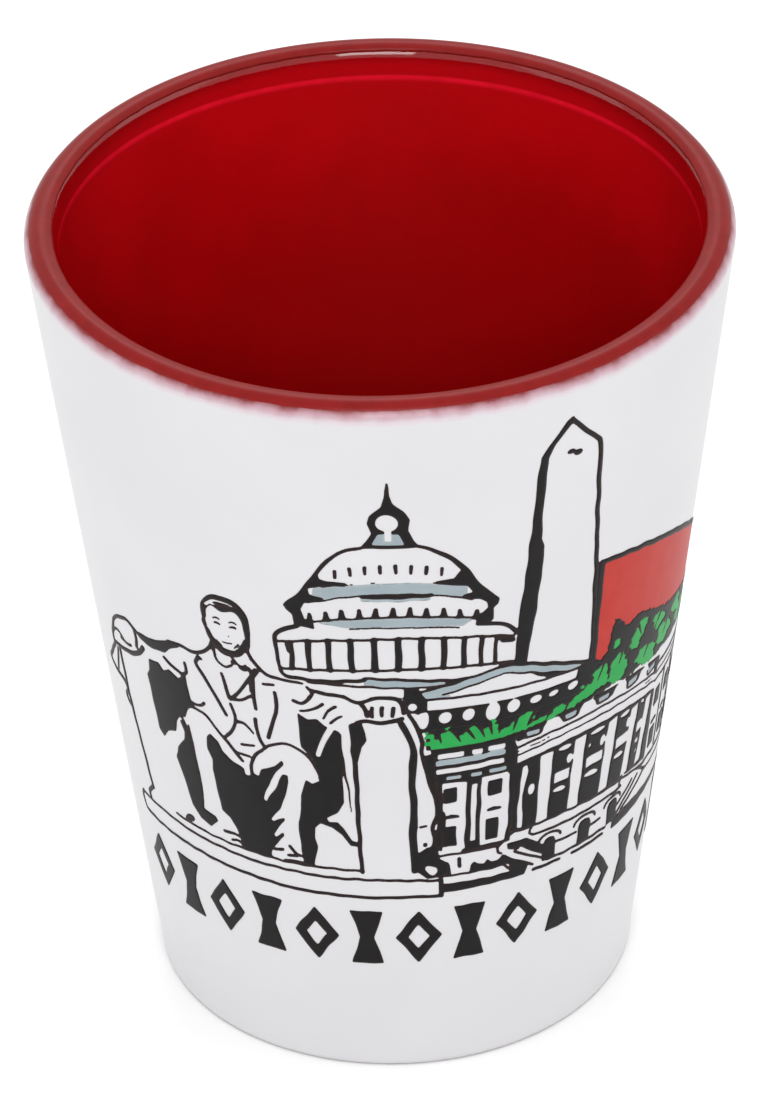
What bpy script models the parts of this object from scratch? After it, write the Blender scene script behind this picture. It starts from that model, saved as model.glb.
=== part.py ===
"""A coated souvenir shot glass with a screen-printed city scene.

A clear pressed-glass tumbler carries a red undercoat and a white topcoat on its outside. Both coats
stop on the heel, so the glass stands on its own bare bearing ring. The print is a set of thin ink
films that lie on the topcoat: black, green, red and a pale grey-blue tint.

The frame: metres, +Z up, origin on the axis at the level of the foot. The print faces -Y.
"""
import math

import bmesh
import bpy

# --- driving dimensions of the glass -------------------------------------------------------------
TOTAL_HEIGHT = 0.0600          # foot to the top of the lip
MOUTH_DIAMETER = 0.0488        # outside of the coated wall, carried up to the full height
FOOT_DIAMETER = 0.0335         # outside of the coated wall, carried down to the foot
LIP_WALL = 0.0019              # glass wall at the lip, which is fully rounded
FLOOR_WALL = 0.0030            # glass wall at the level of the well's floor
WELL_FLOOR_HEIGHT = 0.0100     # well floor above the foot
WELL_CORNER_RADIUS = 0.0030    # fillet between the well's wall and its floor
HEEL_RADIUS = 0.0007           # glass corner between the wall and the foot
BEARING_RING_WIDTH = 0.0030    # flat ring that the glass stands on
PUNT_DEPTH = 0.0007            # shallow recess inside the bearing ring
PUNT_CHAMFER = 0.0010          # width of the slope between the ring and the recess

# --- coats ---------------------------------------------------------------------------------------
TOPCOAT_THICKNESS = 0.00012    # white enamel
UNDERCOAT_THICKNESS = 0.00010  # red enamel under it
COAT_CLEARANCE = 0.00003       # modelling clearance between layers that touch on the real glass
TOPCOAT_STOP = 0.0012          # the white stops this far below the top of the lip
UNDERCOAT_LIP_ANGLE = 142.0    # degrees over the lip's round where the red stops
COAT_FLOOR_CLEARANCE = 0.00008 # both coats stop this far above the surface that the glass stands on

# --- print ---------------------------------------------------------------------------------------
INK_THICKNESS = 0.00008
PRINT_TOP_MARGIN = 0.0021      # from the top of the print to the edge of the white
ART_HEIGHT = 56.7              # height of the artwork in its own drawing units, foot to tallest tip
KEYLINE = 0.36                 # width of a drawn outline, in drawing units
ART_GAP = 0.16                 # gap between a colour and the outline around it, in drawing units
UNITS_PER_DEGREE = 0.358       # drawing units along the wall for one degree round it

ORNAMENT_COUNT = 16
ORNAMENT_FIRST_DEGREE = -62.5
ORNAMENT_PITCH_DEGREES = 11.2
ORNAMENT_FOOT = 10.2
ORNAMENT_HEAD = 15.1

# --- resolution ----------------------------------------------------------------------------------
FACETS = 64
FACET_DEGREES = 360.0 / FACETS
LIP_STEPS = 5
CORNER_STEPS = 4
MERGE_DISTANCE = 0.000001

# --- values that follow from the dimensions ------------------------------------------------------
UNDERCOAT_DEPTH = TOPCOAT_THICKNESS + COAT_CLEARANCE
GLASS_DEPTH = UNDERCOAT_DEPTH + UNDERCOAT_THICKNESS + COAT_CLEARANCE
MOUTH_RADIUS = MOUTH_DIAMETER / 2
FOOT_RADIUS = FOOT_DIAMETER / 2
TAPER = (MOUTH_RADIUS - FOOT_RADIUS) / TOTAL_HEIGHT
LEAN = math.atan(TAPER)
LIP_RADIUS = LIP_WALL / 2
LIP_CENTRE_HEIGHT = TOTAL_HEIGHT - LIP_RADIUS
TOPCOAT_EDGE = TOTAL_HEIGHT - TOPCOAT_STOP
COAT_HEEL_ANGLE = math.degrees(math.asin((HEEL_RADIUS - COAT_FLOOR_CLEARANCE)
                                         / (HEEL_RADIUS + GLASS_DEPTH)))
ART_SCALE = (TOPCOAT_EDGE - PRINT_TOP_MARGIN) / ART_HEIGHT


def clear_scene():
    """Remove every object, so that the script starts from an empty file."""
    for obj in list(bpy.data.objects):
        bpy.data.objects.remove(obj, do_unlink=True)


def new_collection(name):
    """Make a collection under the scene's own."""
    collection = bpy.data.collections.new(name)
    bpy.context.scene.collection.children.link(collection)
    return collection


def principled(name, colour, roughness, transmission=0.0, ior=1.5):
    """Make a Principled material from a linear colour."""
    material = bpy.data.materials.new(name)
    material.use_nodes = True
    shader = material.node_tree.nodes["Principled BSDF"]
    shader.inputs["Base Color"].default_value = (*colour, 1.0)
    shader.inputs["Roughness"].default_value = roughness
    shader.inputs["Transmission Weight"].default_value = transmission
    shader.inputs["IOR"].default_value = ior
    material.diffuse_color = (*colour, 1.0)
    return material


# --- the turned layers ---------------------------------------------------------------------------
def outer_radius(height):
    """Radius of the coated wall at a height."""
    return FOOT_RADIUS + TAPER * height


def arc(centre, radius, start, end, steps):
    """Points on an arc in the (radius, height) plane, angles in degrees, both ends included."""
    points = []
    for index in range(steps + 1):
        angle = math.radians(start + (end - start) * index / steps)
        points.append((centre[0] + radius * math.cos(angle), centre[1] + radius * math.sin(angle)))
    return points


def lip_centre():
    """Centre of the lip's round, set so that the glass wall's outside is tangent to it."""
    reach = (LIP_RADIUS + GLASS_DEPTH) / math.cos(LEAN)
    return outer_radius(LIP_CENTRE_HEIGHT) - reach, LIP_CENTRE_HEIGHT


def heel_centre():
    """Centre of the heel's round, set so that the glass wall's outside is tangent to it."""
    reach = (HEEL_RADIUS + GLASS_DEPTH) / math.cos(LEAN)
    return outer_radius(HEEL_RADIUS) - reach, HEEL_RADIUS


def heel_arc(depth, start_angle):
    """The part of a layer's surface that goes round the heel, from `start_angle` to the wall."""
    radius = HEEL_RADIUS + GLASS_DEPTH - depth
    return arc(heel_centre(), radius, start_angle, -math.degrees(LEAN), CORNER_STEPS)


def foot_profile():
    """Underside of the glass, from the axis over the punt and the bearing ring to the wall."""
    ring_inner = heel_centre()[0] - BEARING_RING_WIDTH
    points = [(0.0, PUNT_DEPTH), (ring_inner - PUNT_CHAMFER, PUNT_DEPTH), (ring_inner, 0.0)]
    return points + heel_arc(GLASS_DEPTH, -90.0)


def wall_point(depth, height):
    """A point of a layer's surface at a height on the straight wall."""
    return outer_radius(height) - depth / math.cos(LEAN), height


def lip_arc(depth, start_angle, end_angle, steps):
    """A part of a layer's surface that goes round the lip, between two angles."""
    radius = LIP_RADIUS + GLASS_DEPTH - depth
    return arc(lip_centre(), radius, start_angle, end_angle, steps)


def well_profile():
    """Inside of the glass, from the axis on the well's floor up to the start of the lip's round."""
    floor_radius = outer_radius(WELL_FLOOR_HEIGHT) - GLASS_DEPTH / math.cos(LEAN) - FLOOR_WALL
    top_radius = lip_centre()[0] - LIP_RADIUS
    rise = LIP_CENTRE_HEIGHT - WELL_FLOOR_HEIGHT
    taper = (top_radius - floor_radius) / rise
    lean = math.atan(taper)
    corner_height = WELL_FLOOR_HEIGHT + WELL_CORNER_RADIUS
    corner_radius = floor_radius + taper * WELL_CORNER_RADIUS - WELL_CORNER_RADIUS / math.cos(lean)
    points = [(0.0, WELL_FLOOR_HEIGHT)]
    points += arc((corner_radius, corner_height), WELL_CORNER_RADIUS, -90.0, -math.degrees(lean),
                  CORNER_STEPS)
    return points, math.degrees(lean)


def glass_profile():
    """Profile of the tumbler: up the well, over the lip, down the outside and in to the axis."""
    inside, well_lean = well_profile()
    top = 90.0
    outer_lip = lip_arc(GLASS_DEPTH, -math.degrees(LEAN), top, LIP_STEPS)
    inner_lip = lip_arc(GLASS_DEPTH, 180.0 - well_lean, top, LIP_STEPS)
    return inside + inner_lip + outer_lip[-2::-1] + foot_profile()[::-1]


def undercoat_profile():
    """Closed profile of the red coat, which covers the wall and goes over the top of the lip."""
    depths = (UNDERCOAT_DEPTH + UNDERCOAT_THICKNESS, UNDERCOAT_DEPTH)
    inner, outer = (heel_arc(depth, -COAT_HEEL_ANGLE)
                    + lip_arc(depth, -math.degrees(LEAN), UNDERCOAT_LIP_ANGLE, 2 * LIP_STEPS)
                    for depth in depths)
    return inner + outer[::-1]


def topcoat_profile():
    """Closed profile of the white coat, which covers the wall up to its own edge."""
    inner, outer = (heel_arc(depth, -COAT_HEEL_ANGLE) + [wall_point(depth, TOPCOAT_EDGE)]
                    for depth in (TOPCOAT_THICKNESS, 0.0))
    return inner + outer[::-1]


def turned(name, profile, material, collection):
    """Turn a profile about Z with a Screw modifier; one that leaves the axis is closed first."""
    mesh = bpy.data.meshes.new(name)
    vertices = [(radius, 0.0, height) for radius, height in profile]
    edges = [(index, index + 1) for index in range(len(vertices) - 1)]
    if profile[0][0] > 0.0:
        edges.append((len(vertices) - 1, 0))
    mesh.from_pydata(vertices, edges, [])
    obj = bpy.data.objects.new(name, mesh)
    collection.objects.link(obj)
    screw = obj.modifiers.new("Turn", "SCREW")
    screw.axis = "Z"
    screw.angle = math.tau
    screw.steps = FACETS
    screw.render_steps = FACETS
    screw.use_merge_vertices = True
    screw.merge_threshold = MERGE_DISTANCE
    obj.data.materials.append(material)
    return obj


# --- the printed films ---------------------------------------------------------------------------
def flat_film(name, outline, holes, collection):
    """Extrude a flat outline with holes, as a 2D curve, and return it as a welded mesh object.

    The points are (degrees round the wall, height in drawing units).
    """
    curve = bpy.data.curves.new(name, "CURVE")
    curve.dimensions = "2D"
    curve.fill_mode = "BOTH"
    curve.extrude = 0.5
    for ring in [outline, *holes]:
        spline = curve.splines.new("POLY")
        spline.points.add(len(ring) - 1)
        for point, (degrees, height) in zip(spline.points, ring):
            point.co = (degrees * UNITS_PER_DEGREE, height, 0.0, 1.0)
        spline.use_cyclic_u = True
    guide = bpy.data.objects.new(name + "_outline", curve)
    collection.objects.link(guide)
    depsgraph = bpy.context.evaluated_depsgraph_get()
    mesh = bpy.data.meshes.new_from_object(guide.evaluated_get(depsgraph))
    bpy.data.objects.remove(guide)
    obj = bpy.data.objects.new(name, mesh)
    collection.objects.link(obj)
    return obj


def cut_at_facets(sheet):
    """Cut a flat film along the lines where the wall's facets meet."""
    low = min(vertex.co.x for vertex in sheet.verts) / UNITS_PER_DEGREE
    high = max(vertex.co.x for vertex in sheet.verts) / UNITS_PER_DEGREE
    first = math.ceil(low / FACET_DEGREES)
    last = math.floor(high / FACET_DEGREES)
    for step in range(first, last + 1):
        place = (step * FACET_DEGREES * UNITS_PER_DEGREE, 0.0, 0.0)
        geometry = [*sheet.verts, *sheet.edges, *sheet.faces]
        bmesh.ops.bisect_plane(sheet, geom=geometry, dist=MERGE_DISTANCE, plane_co=place,
                               plane_no=(1.0, 0.0, 0.0))


def on_wall(degrees, height, lift):
    """Place a point on the facet of the wall at its angle, `lift` outside the topcoat."""
    radius = outer_radius(height) + lift / math.cos(LEAN)
    facet = math.floor(degrees / FACET_DEGREES)
    share = degrees / FACET_DEGREES - facet
    start = math.radians(facet * FACET_DEGREES - 90.0)
    end = math.radians((facet + 1) * FACET_DEGREES - 90.0)
    x = radius * ((1.0 - share) * math.cos(start) + share * math.cos(end))
    y = radius * ((1.0 - share) * math.sin(start) + share * math.sin(end))
    return x, y, height


def film(name, material, collection, outline, holes=()):
    """Print one film of ink: flat outline, cut at the facets, then laid on the wall."""
    obj = flat_film(name, outline, holes, collection)
    sheet = bmesh.new()
    sheet.from_mesh(obj.data)
    bmesh.ops.remove_doubles(sheet, verts=sheet.verts, dist=0.0001)
    bmesh.ops.recalc_face_normals(sheet, faces=sheet.faces)
    cut_at_facets(sheet)
    for vertex in sheet.verts:
        lift = COAT_CLEARANCE + (vertex.co.z + 0.5) * INK_THICKNESS
        degrees = vertex.co.x / UNITS_PER_DEGREE
        vertex.co = on_wall(degrees, vertex.co.y * ART_SCALE, lift)
    sheet.to_mesh(obj.data)
    sheet.free()
    obj.data.materials.clear()
    obj.data.materials.append(material)
    return obj


def inset(outline, width):
    """Move a closed outline inwards by a width in drawing units, with mitred corners.

    The outline runs clockwise, so that its inside lies on the right of each edge.
    """
    flat = [(degrees * UNITS_PER_DEGREE, height) for degrees, height in outline]
    moved = []
    for index, (x, y) in enumerate(flat):
        before = flat[index - 1]
        after = flat[(index + 1) % len(flat)]
        first = edge_normal(before, (x, y))
        second = edge_normal((x, y), after)
        share = width / (1.0 + first[0] * second[0] + first[1] * second[1])
        moved_x = x + share * (first[0] + second[0])
        moved_y = y + share * (first[1] + second[1])
        moved.append((moved_x / UNITS_PER_DEGREE, moved_y))
    return moved


def edge_normal(start, end):
    """Unit normal on the right-hand side of an edge."""
    along_x = end[0] - start[0]
    along_y = end[1] - start[1]
    length = math.hypot(along_x, along_y)
    return along_y / length, -along_x / length


def box_outline(left, right, foot, head):
    """A clockwise rectangle."""
    return [(left, foot), (left, head), (right, head), (right, foot)]


def keyline(name, material, collection, outline):
    """A drawn outline: a closed band of the pen's width along the inside of an outline."""
    return film(name, material, collection, outline, [inset(outline, KEYLINE)])


def seated_figure_outline():
    """The statue in its armchair, clockwise from the left foot of the chair."""
    return [
        (-60.6, 19.0), (-60.4, 19.8), (-63.2, 27.0), (-64.6, 31.0), (-66.4, 32.0), (-64.6, 33.8),
        (-58.0, 35.0), (-46.0, 35.6), (-38.0, 36.3), (-35.0, 37.3), (-36.9, 39.6), (-34.6, 41.3),
        (-31.0, 41.9), (-26.6, 41.3), (-24.8, 40.0), (-25.2, 38.0), (-24.6, 36.6), (-21.5, 35.9),
        (-16.0, 35.6), (-12.0, 35.2), (-6.5, 35.0), (-1.5, 34.2), (3.0, 33.0), (5.4, 30.8),
        (8.2, 25.0), (7.6, 21.4), (4.0, 19.9), (4.0, 19.0),
    ]


def print_statue(ink, collection):
    """The seated stone figure: outline, deep shadows, the arm block and the plinth under it."""
    keyline("ink_figure_outline", ink, collection, seated_figure_outline())
    film("ink_chair_shadow", ink, collection,
         [(-53.0, 26.4), (-53.8, 31.3), (-52.4, 33.0), (-42.6, 33.0), (-41.6, 30.4), (-44.5, 29.1),
          (-47.0, 27.4), (-51.6, 26.1)])
    film("ink_left_leg_shadow", ink, collection,
         [(-44.0, 20.2), (-46.4, 21.6), (-48.4, 25.2), (-45.2, 28.6), (-43.2, 28.0), (-42.0, 22.0),
          (-39.2, 20.8), (-40.8, 20.0)])
    film("ink_lap_shadow", ink, collection,
         [(-36.5, 19.6), (-34.0, 21.0), (-37.6, 22.0), (-38.6, 28.4), (-36.0, 28.2), (-31.0, 26.4),
          (-26.5, 27.2), (-22.2, 28.3), (-24.8, 22.6), (-25.8, 19.6)])
    film("ink_right_leg_shadow", ink, collection,
         [(-18.6, 19.6), (-18.8, 24.0), (-14.4, 27.0), (-17.8, 29.8), (-18.0, 32.4), (-13.0, 33.0),
          (-10.6, 31.6), (-9.6, 26.2), (-14.0, 23.4), (-16.2, 19.6)])
    keyline("ink_arm_block", ink, collection, box_outline(-7.6, 3.0, 19.9, 32.4))
    keyline("ink_plinth", ink, collection, box_outline(-67.0, 9.4, 16.4, 18.2))


def dome_outline():
    """Silhouette of the domed hall, clockwise from the foot of the drum."""
    return [
        (-21.0, 36.6), (-21.0, 39.7), (-16.8, 41.0), (-18.3, 42.3), (-14.8, 44.3), (-12.6, 45.8),
        (-9.6, 47.2), (-4.6, 48.4), (-3.2, 49.2), (-3.2, 50.8), (-0.9, 51.7), (-0.4, 53.8),
        (0.4, 53.8), (0.9, 51.7), (3.2, 50.8), (3.2, 49.2), (5.0, 48.2), (10.4, 46.9), (13.8, 45.2),
        (16.4, 43.6), (19.0, 42.3), (17.4, 41.0), (22.4, 39.7), (22.8, 36.9),
    ]


def print_domed_hall(ink, tint, collection):
    """The dome with its lantern, colonnaded drum and tinted cornice."""
    lantern = box_outline(-2.0, 2.0, 48.7, 50.6)
    upper_dome = [(-11.4, 45.2), (-8.6, 46.7), (-4.0, 47.9), (4.4, 47.8), (9.4, 46.5), (12.4, 45.2)]
    cornice = [(-15.6, 43.0), (-13.4, 44.5), (13.8, 44.5), (16.6, 43.0)]
    gallery = box_outline(-14.6, 15.2, 41.3, 42.4)
    columns = []
    for index in range(9):
        left = -19.6 + index * 4.65
        columns.append(box_outline(left, left + 3.4, 37.3, 39.3))
    film("ink_domed_hall", ink, collection, dome_outline(),
         [lantern, upper_dome, cornice, gallery, *columns])
    film("tint_cornice", tint, collection, inset(cornice, ART_GAP))


def print_portico(ink, collection):
    """The low pediment and its dark arcade."""
    pediment = [(10.0, 34.6), (21.0, 35.8), (33.0, 34.5)]
    beam = box_outline(7.0, 36.0, 33.4, 34.1)
    arches = []
    for index in range(7):
        left = 7.2 + index * 4.4
        arches.append(box_outline(left, left + 1.9, 32.0, 32.9))
    outline = [(6.2, 31.7), (6.2, 34.7), (20.8, 36.5), (24.0, 36.2), (38.8, 34.0), (38.8, 31.7)]
    film("ink_portico", ink, collection, outline, [pediment, beam, *arches])


def print_obelisk(ink, collection):
    """The obelisk: outline with a broad shaded left edge."""
    outline = [(24.6, 36.7), (26.4, 54.0), (31.2, 56.7), (37.2, 53.6), (40.2, 34.4)]
    face = [(26.3, 36.9), (27.6, 53.6), (31.3, 55.8), (36.2, 53.4), (39.0, 35.2)]
    film("ink_obelisk", ink, collection, outline, [face])


def panel_outline():
    """The red field behind the trees, clockwise, with a round shoulder on its far side."""
    points = [(41.2, 34.6), (41.2, 42.6)]
    steps = 8
    for index in range(1, steps + 1):
        angle = math.radians(90.0 * index / steps)
        points.append((41.2 + 66.0 * math.sin(angle), 34.6 + 8.0 * math.cos(angle)))
    return points


def print_red_panel(ink, red, collection):
    """The red field and its black outline."""
    outline = panel_outline()
    keyline("ink_panel_outline", ink, collection, outline)
    film("red_panel", red, collection, inset(outline, KEYLINE + ART_GAP))


def print_hedge(green, collection):
    """The band of foliage under the portico and the red field."""
    top = [(7.0, 31.4), (38.6, 31.4), (44.0, 34.1), (106.0, 34.1)]
    foot = [(106.0, 30.6), (62.0, 30.6), (44.0, 30.9), (24.0, 30.3), (8.0, 30.0)]
    film("green_hedge", green, collection, top + foot)


def print_columned_hall(ink, collection):
    """The long hall: left wing, round columned bay, right wing, cornice, terrace and steps."""
    windows = []
    for column in range(2):
        for foot, head in ((21.0, 22.8), (23.4, 24.6), (25.2, 26.4)):
            left = 10.6 + column * 7.2
            windows.append(box_outline(left, left + 4.6, foot, head))
    film("ink_left_wing", ink, collection, box_outline(9.2, 23.4, 20.4, 27.2), windows)
    columns = []
    for index in range(5):
        left = 26.0 + index * 8.0
        columns.append(box_outline(left, left + 4.0, 21.2, 26.9))
    film("ink_bay", ink, collection, box_outline(24.4, 65.0, 20.6, 27.4), columns)
    openings = []
    for index in range(5):
        left = 67.6 + index * 7.6
        openings.append(box_outline(left, left + 5.0, 21.4, 26.2))
    film("ink_right_wing", ink, collection, box_outline(66.0, 105.4, 20.6, 27.2), openings)
    cornice = [(9.2, 27.7), (9.2, 29.3), (42.0, 30.2), (105.4, 29.6), (105.4, 27.7)]
    keyline("ink_cornice", ink, collection, cornice)
    arches = []
    for index in range(4):
        left = 30.0 + index * 8.6
        arches.append(box_outline(left, left + 5.6, 17.6, 19.2))
    film("ink_terrace", ink, collection, box_outline(27.0, 66.0, 17.2, 20.1), arches)
    film("ink_ledge", ink, collection, box_outline(10.4, 26.0, 16.7, 17.3))
    film("ink_far_steps", ink, collection, box_outline(67.4, 105.4, 16.5, 17.2))


def lozenge(middle, half_width, foot, head):
    """A clockwise diamond."""
    centre = (foot + head) / 2
    return [(middle - half_width, centre), (middle, head), (middle + half_width, centre),
            (middle, foot)]


def print_ornaments(ink, collection):
    """A plain frieze under the scene: pierced diamonds and double-waisted spindles in turn."""
    for index in range(ORNAMENT_COUNT):
        middle = ORNAMENT_FIRST_DEGREE + index * ORNAMENT_PITCH_DEGREES
        name = "ink_ornament_%02d" % (index + 1)
        if index % 2 == 0:
            outline = lozenge(middle, 5.0, ORNAMENT_FOOT, ORNAMENT_HEAD)
            film(name, ink, collection, outline, [inset(outline, 0.9)])
        else:
            centre = (ORNAMENT_FOOT + ORNAMENT_HEAD) / 2
            film(name, ink, collection,
                 [(middle - 3.6, ORNAMENT_FOOT), (middle - 1.5, centre), (middle - 3.6, ORNAMENT_HEAD),
                  (middle + 3.6, ORNAMENT_HEAD), (middle + 1.5, centre), (middle + 3.6, ORNAMENT_FOOT)])


def main():
    """Build the glass, its two coats and the printed films."""
    clear_scene()
    collection = new_collection("shot_glass")
    clear_glass = principled("clear_glass", (0.95, 0.96, 0.96), 0.02, transmission=1.0, ior=1.52)
    red_enamel = principled("red_enamel", (0.33, 0.003, 0.008), 0.25)
    white_enamel = principled("white_enamel", (0.80, 0.80, 0.81), 0.35)
    black_ink = principled("black_ink", (0.02, 0.02, 0.02), 0.35)
    green_ink = principled("green_ink", (0.03, 0.33, 0.08), 0.35)
    red_ink = principled("red_ink", (0.48, 0.04, 0.04), 0.35)
    tint_ink = principled("tint_ink", (0.40, 0.45, 0.47), 0.35)

    turned("glass_tumbler", glass_profile(), clear_glass, collection)
    turned("red_undercoat", undercoat_profile(), red_enamel, collection)
    turned("white_topcoat", topcoat_profile(), white_enamel, collection)

    print_statue(black_ink, collection)
    print_domed_hall(black_ink, tint_ink, collection)
    print_portico(black_ink, collection)
    print_obelisk(black_ink, collection)
    print_red_panel(black_ink, red_ink, collection)
    print_hedge(green_ink, collection)
    print_columned_hall(black_ink, collection)
    print_ornaments(black_ink, collection)


main()
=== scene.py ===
"""Looks of a coated souvenir shot glass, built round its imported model.

The glass is turned from its profile, the two enamels are sprayed skins on its outside, and the print
is a set of thin ink films with their own thickness. Drawn lengths are in millimetres, round positions
on the wall in degrees from the middle of the print; meshes are in metres.
"""

import logging
import math
from dataclasses import dataclass, field
from enum import Enum
from typing import Any, Iterable, Sequence

import bpy
import numpy as np
from mathutils import Matrix, Vector


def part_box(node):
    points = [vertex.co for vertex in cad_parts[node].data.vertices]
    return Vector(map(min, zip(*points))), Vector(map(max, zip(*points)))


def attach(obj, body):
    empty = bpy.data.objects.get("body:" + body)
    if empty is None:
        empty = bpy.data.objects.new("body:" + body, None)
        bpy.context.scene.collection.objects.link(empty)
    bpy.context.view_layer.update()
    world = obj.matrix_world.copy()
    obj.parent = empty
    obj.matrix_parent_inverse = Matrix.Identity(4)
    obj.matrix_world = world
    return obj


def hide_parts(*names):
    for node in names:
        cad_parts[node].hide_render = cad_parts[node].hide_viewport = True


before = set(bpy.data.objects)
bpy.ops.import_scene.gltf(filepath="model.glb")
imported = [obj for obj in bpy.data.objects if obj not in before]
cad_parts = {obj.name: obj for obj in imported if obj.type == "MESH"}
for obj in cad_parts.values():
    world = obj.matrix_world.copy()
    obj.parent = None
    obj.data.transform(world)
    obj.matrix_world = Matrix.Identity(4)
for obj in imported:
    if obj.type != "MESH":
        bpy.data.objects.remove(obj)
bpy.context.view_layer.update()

LOG = logging.getLogger("shot_glass")
MM = 0.001
NOISE_LOW, NOISE_HIGH = 0.3, 0.7  # nearly all of a noise's values lie between these
Points = Sequence[tuple[float, float]]
Area = tuple[slice, slice]


class Slot(Enum):
    """Material slots of the record."""

    CLEAR_GLASS = "clear_glass"
    RED_ENAMEL = "red_enamel"
    WHITE_ENAMEL = "white_enamel"
    BLACK_INK = "black_ink"
    GREEN_INK = "green_ink"
    RED_INK = "red_ink"
    TINT_INK = "tint_ink"


# ---- Colours and shader nodes ----
def linear(code: str) -> tuple[float, float, float, float]:
    """Turn an sRGB hex colour into linear RGBA.

    Args:
        code: six hex digits with a leading hash.

    Returns:
        The linear colour with alpha 1.
    """
    parts = [int(code[i:i + 2], 16) / 255 for i in (1, 3, 5)]
    lin = [p / 12.92 if p <= 0.04045 else ((p + 0.055) / 1.055) ** 2.4 for p in parts]
    return lin[0], lin[1], lin[2], 1.0


def per_size(size_mm: float) -> float:
    """Noise scale whose features are about `size_mm` across on Object coordinates in metres."""
    return 1000.0 / size_mm


def add_node(tree: bpy.types.NodeTree, kind: str, settings: dict[str, Any] | None = None,
             links: dict[str, bpy.types.NodeSocket] | None = None) -> bpy.types.Node:
    """Add a shader node, set it up and link its inputs.

    Args:
        tree: the material's node tree.
        kind: the node's class name, less its "ShaderNode".
        settings: values by input name or index, or by property name; "stops" is a colour ramp's list
            of (position, hex colour), from low to high.
        links: sockets to link, by the name or index of this node's input.

    Returns:
        The new node.
    """
    node = tree.nodes.new(f"ShaderNode{kind}")
    for key, value in (settings or {}).items():
        if key == "stops":
            elements = node.color_ramp.elements
            while len(elements) < len(value):
                elements.new(0.5)
            for element, (position, code) in zip(elements, value):
                element.position = position
                element.color = linear(code)
        elif isinstance(key, int) or key in node.inputs:
            node.inputs[key].default_value = value
        else:
            setattr(node, key, value)
    for key, socket in (links or {}).items():
        tree.links.new(socket, node.inputs[key])
    return node


def new_material(name: str, constants: dict[str, Any]) -> tuple[bpy.types.Material,
                                                               bpy.types.NodeTree, bpy.types.Node]:
    """Make a node material.

    Args:
        name: the real material and how its surface was made.
        constants: values for sockets of its Principled shader.

    Returns:
        The material, its node tree and its Principled shader.
    """
    material = bpy.data.materials.new(name)
    material.use_nodes = True
    tree = material.node_tree
    shader = tree.nodes["Principled BSDF"]
    for key, value in constants.items():
        shader.inputs[key].default_value = value
    return material, tree, shader


def object_noise(tree: bpy.types.NodeTree, size_mm: float, detail: float = 2.0,
                 stretch: tuple[float, float, float] = (1.0, 1.0, 1.0)) -> bpy.types.NodeSocket:
    """Noise on Object coordinates.

    Args:
        tree: the material's node tree.
        size_mm: size of the largest features.
        detail: octaves of finer noise.
        stretch: scale factors along the object's axes, below 1 to draw features out.

    Returns:
        The noise's value output.
    """
    place = add_node(tree, "TexCoord").outputs["Object"]
    mapping = add_node(tree, "Mapping", {"Scale": stretch}, {"Vector": place})
    noise = add_node(tree, "TexNoise", {"Scale": per_size(size_mm), "Detail": detail},
                     {"Vector": mapping.outputs["Vector"]})
    return noise.outputs["Fac"]


@dataclass(frozen=True)
class ClearGlass:
    """Soda-lime glass, pressed and fire polished: water-clear, with a very slight roll in its surface."""

    tint: str = "#F7F9F8"
    ior: float = 1.52
    roughness: float = 0.0
    roll_mm: float = 7.0
    roll_stretch: tuple[float, float, float] = (1.0, 1.0, 0.4)
    roll_depth_mm: float = 0.004

    def build(self) -> bpy.types.Material:
        """Make the material."""
        material, tree, shader = new_material("clear_glass_fire_polished", {
            "Base Color": linear(self.tint), "IOR": self.ior, "Roughness": self.roughness,
            "Transmission Weight": 1.0})
        roll = object_noise(tree, self.roll_mm, 1.0, self.roll_stretch)
        rolled = add_node(tree, "Bump", {"Distance": self.roll_depth_mm * MM},
                          {"Height": roll})
        tree.links.new(rolled.outputs["Normal"], shader.inputs["Normal"])
        return material


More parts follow.
